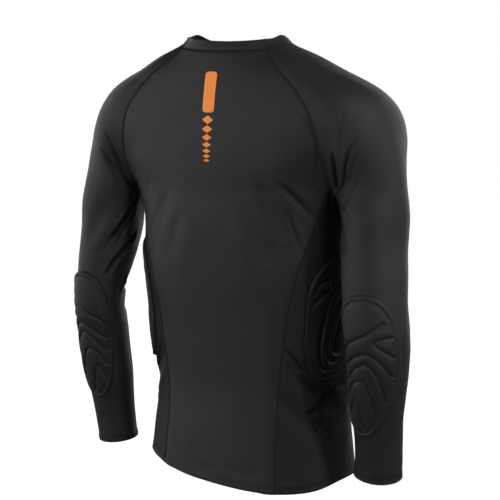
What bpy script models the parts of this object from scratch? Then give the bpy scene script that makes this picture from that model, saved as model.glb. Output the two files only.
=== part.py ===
"""Padded long-sleeved compression shirt, worn but with no wearer in it. Metres, +Z up.

The front faces -Y and the wearer's left side is +X. The origin is where the wearer's shoulders hold
the shirt: on the centre plane, level with the neck seam at the sides of the neck.

One smooth form carries every cloth panel. A coarse cage is worked out from the tables below, fitted
so that its Subdivision Surface passes through the tables' points, and then cut along the seams.
"""
import math

import bpy
import bmesh
import numpy as np
from mathutils import Vector
from mathutils.bvhtree import BVHTree

# Driving sizes in metres.
WALL = 0.0014            # thickness of a cloth panel
SEAM_GAP = 0.0003        # clear space between two panels along a seam
COLLAR_HEIGHT = 0.014    # neckband, from its seam to its free edge
COLLAR_LEAN = 0.90       # size of the neckband's free edge beside its seam

# Cage edges along one ring.
BACK_EDGES = 8           # back panel, from one raglan seam to the other; the front has as many
CAP_EDGES = 6            # raglan sleeve, from its back seam over the shoulder to its front seam
SIDE_EDGES = 4           # underarm, which is also the side panel's width
SMOOTH_LEVELS = 1        # subdivisions of the cage
FIT_PASSES = 8           # corrections of the cage, each about a quarter of the last

# Yoke rings, from the neck seam out to the underarm, in millimetres. Each row gives, on the wearer's
# left, the back raglan seam (x, y, z), the back's middle (y, z), the shoulder's crest (x, y, z), the
# front raglan seam (x, y, z), the front's middle (y, z), how many degrees of an oval the sleeve covers
# from its crest to either seam, and how far the whole ring is shifted to the wearer's left.
YOKE_MM = [
    # back seam        back middle  crest            front seam        front middle  turn, shift
    ((78, 76, -10),    (100, -14),  (93, 38, -4),    (80, -4, -20),    (-46, -74),   90, 0),
    ((106, 95, -36),   (110, -48),  (127, 41, -18),  (108, -28, -44),  (-66, -96),   90, -2),
    ((142, 104, -68),  (117, -83),  (172, 41, -41),  (139, -52, -76),  (-84, -120),  92, -5),
    ((168, 110, -104), (121, -118), (218, 38, -62),  (163, -64, -110), (-98, -146),  98, -7),
    ((180, 104, -143), (123, -153), (254, 36, -93),  (177, -60, -147), (-108, -173), 108, -6),
    ((185, 89, -180),  (123, -187), (273, 38, -140), (184, -36, -182), (-114, -199), 124, -2),
    ((186, 70, -212),  (121, -220), (288, 41, -198), (186, 2, -213),   (-117, -226), 140, 0),
]
BACK_FLATNESS = 2.4      # power of the back's curve from its middle to a seam: more is flatter
FRONT_FLATNESS = 2.0     # the same for the front
UNDERARM_DROP = 0.016    # how far the underarm's middle lies below the raglan seams' ends
UNDERARM_OUT = 0.004     # and how far it lies outside them

# Body rings, from the underarm down to the hem. The seam angles are measured round the ring from
# the wearer's side, towards the back and towards the front.
BODY = [
    # height, half width, back y, front y, back seam deg, front seam deg, back drop, front drop
    (-0.262, 0.187, 0.121, -0.119, 32.0, 8.0, 0.000, 0.000),
    (-0.310, 0.187, 0.118, -0.118, 40.0, 18.0, 0.000, 0.000),
    (-0.360, 0.186, 0.113, -0.114, 46.5, 26.0, 0.000, 0.000),
    (-0.410, 0.182, 0.107, -0.110, 51.0, 32.0, 0.000, 0.000),
    (-0.460, 0.179, 0.102, -0.107, 53.5, 36.0, 0.000, 0.000),
    (-0.510, 0.171, 0.099, -0.105, 54.5, 38.0, 0.001, 0.001),
    (-0.560, 0.167, 0.100, -0.105, 55.0, 38.0, 0.005, 0.003),
    (-0.608, 0.171, 0.106, -0.106, 55.5, 38.0, 0.011, 0.006),
    (-0.655, 0.176, 0.112, -0.107, 56.0, 38.0, 0.019, 0.008),
]
BODY_SQUARENESS = 2.25   # superellipse power of a body ring: 2 is an ellipse
HEM_SWING = 0.010        # how much higher the worn hem sits on the wearer's left than on their right
SWING_FROM = -0.460      # the height at which that begins
HEM_LOWEST = 125.0      # where round the back the hem hangs lowest, from the wearer's left side
DROP_POWER = 1.6         # how quickly a ring's drop fades from its middle to its sides

# Sleeve rings, from the underarm down to the cuff. x is the distance from the centre plane. The
# seam angle is that of the back raglan seam's column, from outward towards the back.
SLEEVES = {
    "left": [
        # centre x, y, z, half width, half depth, seam deg
        (0.2460, 0.041, -0.255, 0.0490, 0.0555, 146.0),
        (0.2475, 0.048, -0.300, 0.0465, 0.0520, 126.0),
        (0.2510, 0.057, -0.343, 0.0435, 0.0480, 108.0),
        (0.2542, 0.066, -0.384, 0.0378, 0.0435, 108.0),
        (0.2550, 0.068, -0.424, 0.0360, 0.0420, 108.0),
        (0.2570, 0.059, -0.466, 0.0378, 0.0415, 108.0),
        (0.2575, 0.051, -0.512, 0.0382, 0.0405, 108.0),
        (0.2580, 0.042, -0.560, 0.0365, 0.0370, 108.0),
        (0.2570, 0.034, -0.612, 0.0330, 0.0325, 108.0),
        (0.2545, 0.029, -0.657, 0.0325, 0.0315, 108.0),
    ],
    "right": [
        # centre x, y, z, half width, half depth, seam deg
        (0.2455, 0.041, -0.250, 0.0485, 0.0555, 146.0),
        (0.2490, 0.048, -0.290, 0.0475, 0.0525, 126.0),
        (0.2550, 0.057, -0.330, 0.0470, 0.0510, 108.0),
        (0.2610, 0.065, -0.370, 0.0462, 0.0490, 108.0),
        (0.2665, 0.067, -0.410, 0.0460, 0.0480, 108.0),
        (0.2665, 0.062, -0.450, 0.0442, 0.0460, 108.0),
        (0.2625, 0.055, -0.494, 0.0410, 0.0425, 108.0),
        (0.2568, 0.047, -0.540, 0.0382, 0.0380, 108.0),
        (0.2532, 0.037, -0.590, 0.0354, 0.0345, 108.0),
        (0.2484, 0.030, -0.636, 0.0362, 0.0335, 108.0),
    ],
}

# Soft folds pressed into the worn cloth. The ends are given on the body by the angle round the ring
# from the wearer's left side towards the back, and on a sleeve by the angle from outward.
FOLDS = [
    # part, start deg, start z, end deg, end z, half width, depth
    ("body", 128.0, -0.205, 143.0, -0.290, 0.016, 0.0035),
    ("body", 119.0, -0.235, 134.0, -0.330, 0.018, 0.0030),
    ("body", 57.0, -0.215, 44.0, -0.300, 0.016, 0.0030),
    ("body", 66.0, -0.250, 52.0, -0.335, 0.018, 0.0025),
    ("body", 146.0, -0.475, 176.0, -0.560, 0.017, 0.0035),
    ("body", 139.0, -0.520, 165.0, -0.600, 0.018, 0.0030),
    ("body", 36.0, -0.480, 8.0, -0.560, 0.017, 0.0030),
    ("body", 222.0, -0.215, 238.0, -0.300, 0.018, 0.0030),
    ("body", -42.0, -0.215, -58.0, -0.300, 0.018, 0.0030),
    ("body", 216.0, -0.480, 190.0, -0.560, 0.018, 0.0030),
    ("left", 118.0, -0.255, 92.0, -0.330, 0.014, 0.0020),
    ("left", 152.0, -0.290, 118.0, -0.350, 0.013, 0.0035),
    ("right", 150.0, -0.250, 118.0, -0.310, 0.014, 0.0030),
    ("left", -70.0, -0.395, -140.0, -0.440, 0.012, 0.0035),
    ("right", -70.0, -0.380, -140.0, -0.425, 0.012, 0.0035),
]

# Moulded foam pads. A pad is as wide as its half angle round its panel. Its head is round, and its
# foot narrows by the taper's share and leans by the shift towards the wearer's back. Flex grooves
# cross it, which follow the head's arch and then the foot's.
PAD_SEAT = 0.0009        # clear space between the cloth and the pad that is sewn to it
PADS = [
    # name, part, centre deg, half deg, shift deg, head's base z, head height, foot's top z,
    # foot height, taper, columns, thickness
    ("elbow_pad_left", "left", 85.5, 67.5, 10.0, -0.452, 0.078, -0.468, 0.106, 0.32, 15, 0.0042),
    ("elbow_pad_right", "right", 85.5, 67.5, 10.0, -0.438, 0.078, -0.454, 0.106, 0.32, 15, 0.0042),
    ("side_pad_left", "body", 2.0, 24.0, 13.0, -0.385, 0.080, -0.425, 0.078, 0.50, 10, 0.0040),
    ("side_pad_right", "body", 178.0, 24.0, -13.0, -0.385, 0.080, -0.425, 0.078, 0.50, 10, 0.0040),
]
HEAD_ROUNDNESS = 2.2     # power of the head's outline: 2 is an ellipse
FOOT_ROUNDNESS = 2.6     # the same for the foot
GROOVE_DEPTH = 0.0022
GROOVE_HALF_WIDTH = 0.0022
GROOVES = [0.16, 0.30, 0.44, 0.58, 0.72, 0.86]   # where they cross, as shares of the pad's height
PAD_EDGE_THICKNESS = 0.0016
PAD_EDGE_WIDTH = 0.0045  # the pad falls to its edge thickness within this

# Panels in the order of their numbers on the form, and the panels across a ring.
PANELS = ["back", "front", "side_panel_left", "side_panel_right", "sleeve_left", "sleeve_right", "collar"]
BODY_PANELS = (["back"] * BACK_EDGES + ["side_panel_left"] * SIDE_EDGES
               + ["front"] * BACK_EDGES + ["side_panel_right"] * SIDE_EDGES)
YOKE_PANELS = (["back"] * BACK_EDGES + ["sleeve_left"] * CAP_EDGES
               + ["front"] * BACK_EDGES + ["sleeve_right"] * CAP_EDGES)

# Colour and roughness.
CLOTH_LOOK = (0.028, 0.028, 0.029, 1.0), 0.62
PAD_LOOK = (0.022, 0.022, 0.023, 1.0), 0.70


def clear_scene():
    for old in list(bpy.data.objects):
        bpy.data.objects.remove(old)


def superellipse(half_x, half_y, angle, power):
    """A point of a superellipse round the origin, at that angle from +X."""
    c, s = math.cos(angle), math.sin(angle)
    return (half_x * math.copysign(abs(c) ** (2 / power), c),
            half_y * math.copysign(abs(s) ** (2 / power), s))


def middle_arc(side, middle, share, flatness):
    """A point between two mirrored side points, through the middle one. share runs from -1 to 1."""
    blend = abs(share) ** flatness
    return Vector((side[0] * share,
                   middle[0] + (side[1] - middle[0]) * blend,
                   middle[1] + (side[2] - middle[1]) * blend))


def yoke_row(index):
    """A row of the yoke's table in metres, with its oval's turn in radians."""
    row = YOKE_MM[index]
    return [Vector(place) * 0.001 for place in row[:5]] + [math.radians(row[5]), row[6] * 0.001]


def cap_arc(row, share):
    """A point on the ovals that run from the back seam over the crest to the front seam."""
    end = row[0] if share < 0 else row[3]
    crest = row[2]
    whole = row[5]
    turn = abs(share) * whole
    along = (1 - math.cos(turn)) / (1 - math.cos(whole))
    across = math.sin(turn) / math.sin(whole)
    return Vector((crest.x + (end.x - crest.x) * along,
                   crest.y + (end.y - crest.y) * across,
                   crest.z + (end.z - crest.z) * along))


def yoke_ring(row):
    """Points of a yoke ring: back from right to left, left cap, front from left to right, right cap."""
    back, back_middle, _, front, front_middle, _, shift = row
    ring = []
    for i in range(BACK_EDGES):
        ring.append(middle_arc(back, back_middle, -1 + 2 * i / BACK_EDGES, BACK_FLATNESS))
    for i in range(CAP_EDGES):
        ring.append(cap_arc(row, -1 + 2 * i / CAP_EDGES))
    for i in range(BACK_EDGES):
        ring.append(middle_arc(front, front_middle, 1 - 2 * i / BACK_EDGES, FRONT_FLATNESS))
    for i in range(CAP_EDGES):
        point = cap_arc(row, 1 - 2 * i / CAP_EDGES)
        ring.append(Vector((-point.x, point.y, point.z)))
    return [point + Vector((shift, 0, 0)) for point in ring]


def collar_ring(seam_ring):
    """The neckband's free edge: the neck seam lifted and drawn in a little."""
    centre = sum(seam_ring, Vector()) / len(seam_ring)
    ring = []
    for point in seam_ring:
        ring.append(Vector((centre.x + (point.x - centre.x) * COLLAR_LEAN,
                            centre.y + (point.y - centre.y) * COLLAR_LEAN,
                            point.z + COLLAR_HEIGHT)))
    return ring


def drop_angle(angle):
    """The angle turned so that the hem's lowest place on the back counts as its middle."""
    lowest = math.radians(HEM_LOWEST)
    if not 0 < angle < math.pi:
        return angle
    if angle < lowest:
        return angle / lowest * math.pi / 2
    return math.pi / 2 + (angle - lowest) / (math.pi - lowest) * math.pi / 2


def body_point(row, angle):
    height, half_width, back_y, front_y, _, _, back_drop, front_drop = row
    reach = back_y if math.sin(angle) > 0 else -front_y
    x, y = superellipse(half_width, reach, angle, BODY_SQUARENESS)
    lean = abs(math.sin(drop_angle(angle))) ** DROP_POWER
    drop = (back_drop if math.sin(angle) > 0 else front_drop) * lean
    swing = max(0.0, (height - SWING_FROM) / (BODY[-1][0] - SWING_FROM)) * HEM_SWING / 2
    return Vector((x, y, height - drop + swing * x / half_width))


def body_ring(row):
    """Points of a body ring: back from right to left, left side, front from left to right, right side."""
    back_seam, front_seam = math.radians(row[4]), math.radians(row[5])
    stretches = [
        (math.pi - back_seam, back_seam, BACK_EDGES),
        (back_seam, -front_seam, SIDE_EDGES),
        (-front_seam, front_seam - math.pi, BACK_EDGES),
    ]
    ring = []
    for start, end, edges in stretches:
        for i in range(edges):
            ring.append(body_point(row, start + (end - start) * i / edges))
    for i in range(SIDE_EDGES):
        angle = math.pi + front_seam - (back_seam + front_seam) * i / SIDE_EDGES
        ring.append(body_point(row, angle))
    return ring


def underarm_points(row):
    """The points between the back and front raglan seams' ends, on the wearer's left."""
    back, front = row[0], row[3]
    points = []
    for i in range(1, SIDE_EDGES):
        share = i / SIDE_EDGES
        bow = math.sin(math.pi * share)
        points.append(back.lerp(front, share) + Vector((UNDERARM_OUT * bow, 0, -UNDERARM_DROP * bow)))
    return points


def sleeve_frame(rows, index):
    """A sleeve ring's centre, its outward and backward directions, as if on the wearer's left."""
    centre = Vector(rows[index][:3])
    above = Vector(rows[max(index - 1, 0)][:3])
    below = Vector(rows[min(index + 1, len(rows) - 1)][:3])
    down = (below - above).normalized()
    outward = Vector((1, 0, 0))
    outward = (outward - down * outward.dot(down)).normalized()
    backward = outward.cross(down)
    return centre, outward, backward


def sleeve_ring(rows, index):
    """Points of a sleeve ring, from the back seam's column out over the arm."""
    centre, outward, backward = sleeve_frame(rows, index)
    half_width, half_depth, seam_deg = rows[index][3:]
    seam = math.radians(seam_deg)
    under = 2 * math.pi - 2 * seam
    angles = [seam - 2 * seam * i / CAP_EDGES for i in range(CAP_EDGES)]
    angles += [-seam - under * i / SIDE_EDGES for i in range(SIDE_EDGES)]
    return [centre + outward * (half_width * math.cos(angle)) + backward * (half_depth * math.sin(angle))
            for angle in angles]


def mirrored(points):
    return [Vector((-p.x, p.y, p.z)) for p in points]


def add_points(points, new):
    first = len(points)
    points.extend(new)
    return list(range(first, first + len(new)))


def bridge(faces, panels, upper, lower, names, flip=False):
    """Quads between two closed rings of point numbers. names gives the panel of each column."""
    for i, name in enumerate(names):
        j = (i + 1) % len(names)
        quad = (upper[i], upper[j], lower[j], lower[i])
        faces.append(quad[::-1] if flip else quad)
        panels.append(PANELS.index(name))


def make_cage():
    """Returns the target points, the faces and each face's panel number."""
    points, faces, panels = [], [], []
    rows = [yoke_row(index) for index in range(len(YOKE_MM))]
    yoke = [add_points(points, yoke_ring(row)) for row in rows]
    collar = add_points(points, collar_ring(yoke_ring(rows[0])))
    bridge(faces, panels, collar, yoke[0], ["collar"] * len(collar))
    for upper, lower in zip(yoke, yoke[1:]):
        bridge(faces, panels, upper, lower, YOKE_PANELS)

    last = yoke[-1]
    left_start, front_start = BACK_EDGES, BACK_EDGES + CAP_EDGES
    right_start = front_start + BACK_EDGES
    under_left = add_points(points, underarm_points(rows[-1]))
    under_right = add_points(points, mirrored(underarm_points(rows[-1])))

    upper = last[:left_start + 1] + under_left + last[front_start:right_start + 1] + under_right[::-1]
    for row in BODY:
        lower = add_points(points, body_ring(row))
        bridge(faces, panels, upper, lower, BODY_PANELS)
        upper = lower

    left_top = last[left_start:front_start + 1] + under_left[::-1]
    right_top = [last[0]] + last[:right_start - 1:-1] + under_right[::-1]
    for side, upper in (("left", left_top), ("right", right_top)):
        names = ["sleeve_" + side] * len(upper)
        for index in range(len(SLEEVES[side])):
            ring = sleeve_ring(SLEEVES[side], index)
            lower = add_points(points, mirrored(ring) if side == "right" else ring)
            bridge(faces, panels, upper, lower, names, flip=side == "right")
            upper = lower
    return points, faces, panels


def smooth_form(name, points, faces, panels, levels, collection):
    """A Subdivision Surface of the cage as a plain mesh whose corners lie on the smooth surface."""
    mesh = bpy.data.meshes.new(name)
    mesh.from_pydata(points, [], faces)
    mesh.polygons.foreach_set("material_index", panels)
    cage = bpy.data.objects.new(name, mesh)
    collection.objects.link(cage)
    for _ in PANELS:
        mesh.materials.append(None)
    smoother = cage.modifiers.new("smooth", "SUBSURF")
    smoother.levels = smoother.render_levels = levels
    bpy.context.view_layer.update()
    made = bpy.data.meshes.new_from_object(cage.evaluated_get(bpy.context.evaluated_depsgraph_get()))
    bpy.data.objects.remove(cage)
    return made


def corner_array(mesh):
    flat = np.zeros(len(mesh.vertices) * 3)
    mesh.vertices.foreach_get("co", flat)
    return flat.reshape(-1, 3)


def fitted_cage(collection):
    """Moves the cage until its smooth surface passes through the tables' points."""
    points, faces, panels = make_cage()
    target = np.array([tuple(p) for p in points])
    cage = target.copy()
    for _ in range(FIT_PASSES):
        form = smooth_form("cage", [tuple(p) for p in cage], faces, panels, 1, collection)
        cage += target - corner_array(form)[:len(target)]
        bpy.data.meshes.remove(form)
    return [tuple(p) for p in cage], faces, panels


def mix(low, high, share):
    return low + (high - low) * share


def body_axis(height, degrees):
    """A point on the body's axis at that height, and the direction out at that angle."""
    angle = math.radians(degrees)
    return Vector((0, 0, height)), Vector((math.cos(angle), math.sin(angle), 0))


def sleeve_axis(side, height, degrees):
    """A point on a sleeve's axis at that height, and the direction out at that angle."""
    rows = SLEEVES[side]
    index = 0
    while index < len(rows) - 2 and rows[index + 1][2] > height:
        index += 1
    share = (rows[index][2] - height) / (rows[index][2] - rows[index + 1][2])
    ends = sleeve_frame(rows, index), sleeve_frame(rows, index + 1)
    centre, outward, backward = [ends[0][k].lerp(ends[1][k], share) for k in range(3)]
    angle = math.radians(degrees)
    direction = outward * math.cos(angle) + backward * math.sin(angle)
    if side == "right":
        centre.x, direction.x = -centre.x, -direction.x
    return centre, direction.normalized()


class Surface:
    """Finds points of a mesh, and its smooth normals there, from inside the body or a sleeve."""

    def __init__(self, mesh):
        self.corners = [v.co.copy() for v in mesh.vertices]
        self.normals = [v.normal.copy() for v in mesh.vertices]
        parts = {"body": [], "left": [], "right": []}
        for face in mesh.polygons:
            name = PANELS[face.material_index]
            part = name.removeprefix("sleeve_") if name.startswith("sleeve_") else "body"
            parts[part].append(tuple(face.vertices))
        self.faces = parts
        self.trees = {part: BVHTree.FromPolygons(self.corners, faces) for part, faces in parts.items()}

    def find(self, part, height, degrees):
        if part == "body":
            origin, direction = body_axis(height, degrees)
        else:
            origin, direction = sleeve_axis(part, height, degrees)
        point, _, index, _ = self.trees[part].ray_cast(origin, direction)
        total = Vector()
        for corner in self.faces[part][index]:
            weight = 1 / ((self.corners[corner] - point).length + WALL)
            total += self.normals[corner] * weight
        return point, total.normalized()


def press_folds(mesh):
    """Moves the form's corners in along each fold's trough, and a little out beside it."""
    surface = Surface(mesh)
    moves = [0.0] * len(mesh.vertices)
    for part, start_deg, start_z, end_deg, end_z, half_width, depth in FOLDS:
        start, _ = surface.find(part, start_z, start_deg)
        end, _ = surface.find(part, end_z, end_deg)
        run = end - start
        for index, corner in enumerate(surface.corners):
            share = (corner - start).dot(run) / run.length_squared
            away = corner - (start + run * share)
            if not 0 < share < 1 or away.length > 4 * half_width:
                continue
            away -= surface.normals[index] * away.dot(surface.normals[index])
            reach = away.length / half_width
            if reach < 2:
                fade = 1 - abs(2 * share - 1) ** 3
                moves[index] -= depth * fade * math.cos(math.pi * reach / 2) * (1 - reach / 2)
    for vertex, move in zip(mesh.vertices, moves):
        vertex.co = vertex.co + vertex.normal * move


def new_object(name, mesh, look, collection):
    material = bpy.data.materials.new(name)
    material.use_nodes = True
    shader = material.node_tree.nodes["Principled BSDF"]
    shader.inputs["Base Color"].default_value = look[0]
    shader.inputs["Roughness"].default_value = look[1]
    mesh.materials.clear()
    mesh.materials.append(material)
    thing = bpy.data.objects.new(name, mesh)
    collection.objects.link(thing)
    for face in mesh.polygons:
        face.use_smooth = True
    return thing


def thickened(form, collection):
    """The whole form as a wall: its own corners outside, and as many again inside."""
    holder = bpy.data.objects.new("wall", form)
    collection.objects.link(holder)
    wall = holder.modifiers.new("wall", "SOLIDIFY")
    wall.thickness = WALL
    wall.offset = -1
    wall.use_even_offset = True
    bpy.context.view_layer.update()
    made = bpy.data.meshes.new_from_object(holder.evaluated_get(bpy.context.evaluated_depsgraph_get()))
    bpy.data.objects.remove(holder)
    return made


def cut_panel(name, number, wall, collection):
    """One panel out of the wall, drawn back from its seams and closed along them."""
    bm = bmesh.new()
    bm.from_mesh(wall)
    bm.verts.ensure_lookup_table()
    half = len(bm.verts) // 2
    twins = {bm.verts[i]: bm.verts[i + half] for i in range(half)}
    bmesh.ops.delete(bm, geom=[f for f in bm.faces if f.material_index != number], context="FACES_ONLY")
    seams = [e for e in bm.edges if len(e.link_faces) == 1 and e.verts[0] in twins and e.verts[1] in twins]
    moves = {}
    for edge in seams:
        face = edge.link_faces[0]
        along = (edge.verts[1].co - edge.verts[0].co).normalized()
        inward = face.calc_center_median() - edge.verts[0].co
        inward = (inward - along * inward.dot(along)).normalized()
        for vertex in edge.verts:
            moves.setdefault(vertex, []).append(inward)
    for edge in seams:
        first, second = edge.verts
        bm.faces.new((first, second, twins[second], twins[first]))
    for vertex, inwards in moves.items():
        mean = sum(inwards, Vector()) / len(inwards)
        step = mean * (SEAM_GAP / 2 / max(mean.length_squared, 0.5))
        vertex.co += step
        twins[vertex].co += step
    loose = [v for v in bm.verts if not v.link_faces]
    bmesh.ops.delete(bm, geom=loose, context="VERTS")
    bmesh.ops.recalc_face_normals(bm, faces=bm.faces)
    for face in bm.faces:
        face.material_index = 0
    mesh = bpy.data.meshes.new(name)
    bm.to_mesh(mesh)
    bm.free()
    return new_object(name, mesh, CLOTH_LOOK, collection)


def pad_rows(height):
    """Shares of the pad's height for its rows, and how deep each lies in a groove, from 0 to 1."""
    half = GROOVE_HALF_WIDTH / height
    edge = PAD_EDGE_WIDTH / height
    rows = [(0.0, 0.0), (edge, 0.0)]
    for groove in GROOVES:
        if groove != GROOVES[0]:
            rows.append(((rows[-1][0] + groove - half) / 2, 0.0))
        rows += [(groove - half, 0.0), (groove, 1.0), (groove + half, 0.0)]
    rows += [(1.0 - edge, 0.0), (1.0, 0.0)]
    return rows


def pad_point(row, surface, share, across):
    """The cloth's point and normal under a pad, at a share of its height and from side to side."""
    _, part, centre, half_deg, shift, shoulder, head, hip, foot, taper, _, _ = row
    top = shoulder + head * (1 - abs(across) ** HEAD_ROUNDNESS) ** (1 / HEAD_ROUNDNESS)
    bottom = hip - foot * (1 - abs(across) ** FOOT_ROUNDNESS) ** (1 / FOOT_ROUNDNESS)
    height = mix(top, bottom, share)
    sunk = max(0.0, (hip - height) / foot)
    return surface.find(part, height, centre + shift * sunk + half_deg * across * (1 - taper * sunk))


def pad_lifts(row, surface, shares, acrosses, points):
    """How far each point is raised so that the flat faces between them clear the cloth's bends."""
    width = len(acrosses)
    lifts = [0.0] * len(points)
    for r in range(len(shares)):
        for c in range(width):
            for down, right in ((0, 1), (1, 0), (1, 1), (1, -1)):
                if r + down >= len(shares) or not 0 <= c + right < width:
                    continue
                ends = r * width + c, (r + down) * width + c + right
                share = (shares[r] + shares[r + down]) / 2
                across = (acrosses[c] + acrosses[c + right]) / 2
                point, normal = pad_point(row, surface, share, across)
                sag = (point - (points[ends[0]] + points[ends[1]]) / 2).dot(normal)
                for end in ends:
                    lifts[end] = max(lifts[end], sag)
    return lifts


def make_pad(row, surface, collection):
    """A pad's outer face with its grooves, over a plain underside that follows the cloth."""
    name, _, _, _, _, shoulder, head, hip, foot, _, columns, thickness = row
    rows = pad_rows(head + foot + shoulder - hip)
    acrosses = [2 * c / columns - 1 for c in range(columns + 1)]
    found = [pad_point(row, surface, share, across) for share, _ in rows for across in acrosses]
    points = [point for point, _ in found]
    lifts = pad_lifts(row, surface, [share for share, _ in rows], acrosses, points)
    outer, inner = [], []
    last_row, last_column = len(rows) - 1, columns
    width = columns + 1
    for k, (point, normal) in enumerate(found):
        r, c = divmod(k, width)
        fade = 1 - acrosses[c] ** 4
        edge = r in (0, last_row) or c in (0, last_column)
        rise = PAD_EDGE_THICKNESS if edge else thickness - GROOVE_DEPTH * rows[r][1] * fade
        under = PAD_SEAT + lifts[k]
        inner.append(point + normal * under)
        outer.append(point + normal * (under + rise))
    count = len(outer)
    faces = []
    for r in range(last_row):
        for c in range(columns):
            a = r * width + c
            quad = (a, a + 1, a + width + 1, a + width)
            faces.append(quad)
            faces.append(tuple(count + k for k in reversed(quad)))
    border = list(range(columns)) + [r * width + columns for r in range(last_row)]
    border += [last_row * width + c for c in range(columns, 0, -1)]
    border += [r * width for r in range(last_row, 0, -1)]
    for a, b in zip(border, border[1:] + border[:1]):
        faces.append((b, a, count + a, count + b))
    mesh = bpy.data.meshes.new(name)
    mesh.from_pydata(outer + inner, [], faces)
    bm = bmesh.new()
    bm.from_mesh(mesh)
    bmesh.ops.recalc_face_normals(bm, faces=bm.faces)
    bm.to_mesh(mesh)
    bm.free()
    return new_object(name, mesh, PAD_LOOK, collection)


def main():
    clear_scene()
    collection = bpy.data.collections.new("padded_compression_shirt")
    bpy.context.scene.collection.children.link(collection)
    cage, faces, panels = fitted_cage(collection)
    form = smooth_form("form", cage, faces, panels, SMOOTH_LEVELS, collection)
    press_folds(form)
    surface = Surface(form)
    wall = thickened(form, collection)
    for number, name in enumerate(PANELS):
        cut_panel(name, number, wall, collection)
    for row in PADS:
        make_pad(row, surface, collection)


if __name__ == "__main__":
    main()
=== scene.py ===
import math

import bpy
import bmesh
import numpy as np
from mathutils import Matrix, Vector, noise
from mathutils.bvhtree import BVHTree
from mathutils.kdtree import KDTree


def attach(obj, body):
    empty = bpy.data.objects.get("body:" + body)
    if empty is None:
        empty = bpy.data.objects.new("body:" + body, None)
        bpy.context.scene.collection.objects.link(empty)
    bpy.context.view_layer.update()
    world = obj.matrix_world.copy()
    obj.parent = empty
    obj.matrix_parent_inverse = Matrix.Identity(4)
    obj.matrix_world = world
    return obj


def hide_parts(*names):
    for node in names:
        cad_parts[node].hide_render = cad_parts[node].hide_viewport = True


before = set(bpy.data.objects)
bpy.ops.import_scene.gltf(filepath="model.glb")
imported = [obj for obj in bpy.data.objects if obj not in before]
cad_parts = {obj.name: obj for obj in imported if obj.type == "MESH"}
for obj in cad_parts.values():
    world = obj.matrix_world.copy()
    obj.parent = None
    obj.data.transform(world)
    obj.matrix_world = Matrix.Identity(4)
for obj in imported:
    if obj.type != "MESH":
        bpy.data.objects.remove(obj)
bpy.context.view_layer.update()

# The shirt's form, in the same sizes as its CAD model. The front faces -Y and the wearer's left is +X.
MM = 0.001
COLLAR_HEIGHT = 0.014
COLLAR_LEAN = 0.90        # size of its free edge, as a share of the neck seam's
COLLAR_SIDE_LEAN = 0.06   # how much more it leans in over the shoulders
COLLAR_DIP = 0.0028       # how far its edge dips either side of the shoulders' crests
COLLAR_RISE = 0.0012      # how much higher its edge is at the middle of the back
COLLAR_TILT = 0.0018      # and how much higher again at the left end of the back
DIP_POWER, LEAN_POWER = 0.7, 4
BACK_EDGES = 8            # the cage's faces across the back or the front,
CAP_EDGES = 6             # over a shoulder,
SIDE_EDGES = 4            # and across a side panel or under an arm
FIT_PASSES = 8
FINE_LEVELS = 4          # subdivisions of the cage for the cloth: a face is then about 2.4 mm wide
GUIDE_LEVELS = 2         # and for the surface that folds and pads are placed on

# Yoke rings, in millimetres: back raglan seam, back's middle, shoulder's crest, front raglan seam,
# front's middle, the degrees of an oval from the crest to either seam, and the ring's shift to the left.
YOKE_MM = [
    ((78, 76, -10),    (100, -14),  (93, 38, -4),    (80, -4, -20),    (-46, -74),   90, 0),
    ((106, 95, -36),   (110, -48),  (127, 41, -18),  (108, -28, -44),  (-66, -96),   90, -2),
    ((142, 104, -68),  (117, -83),  (172, 41, -41),  (139, -52, -76),  (-84, -120),  92, -5),
    ((168, 110, -104), (121, -118), (218, 38, -62),  (163, -64, -110), (-98, -146),  98, -7),
    ((180, 104, -143), (123, -153), (254, 36, -93),  (177, -60, -147), (-108, -173), 108, -6),
    ((185, 89, -180),  (123, -187), (273, 38, -140), (184, -36, -182), (-114, -199), 124, -2),
    ((186, 70, -212),  (121, -220), (288, 41, -198), (186, 2, -213),   (-117, -226), 140, 0),
]
BACK_FLATNESS = 2.4
FRONT_FLATNESS = 2.0
UNDERARM_DROP = 0.016
UNDERARM_OUT = 0.004

# Body rings: height, half width, back y, front y, back seam deg, front seam deg, back drop, front drop.
BODY = [
    (-0.262, 0.187, 0.121, -0.119, 32.0, 8.0, 0.000, 0.000),
    (-0.310, 0.187, 0.118, -0.118, 40.0, 18.0, 0.000, 0.000),
    (-0.360, 0.186, 0.113, -0.114, 46.5, 26.0, 0.000, 0.000),
    (-0.410, 0.182, 0.107, -0.110, 51.0, 32.0, 0.000, 0.000),
    (-0.460, 0.179, 0.102, -0.107, 53.5, 36.0, 0.000, 0.000),
    (-0.510, 0.171, 0.099, -0.105, 54.5, 38.0, 0.001, 0.001),
    (-0.560, 0.167, 0.100, -0.105, 55.0, 38.0, 0.005, 0.003),
    (-0.608, 0.171, 0.106, -0.106, 55.5, 38.0, 0.011, 0.006),
    (-0.655, 0.176, 0.112, -0.107, 56.0, 38.0, 0.019, 0.008),
]
BODY_SQUARENESS = 2.25
HEM_SWING = 0.010
SWING_FROM = -0.460
HEM_LOWEST = 125.0
DROP_POWER = 1.6

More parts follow.
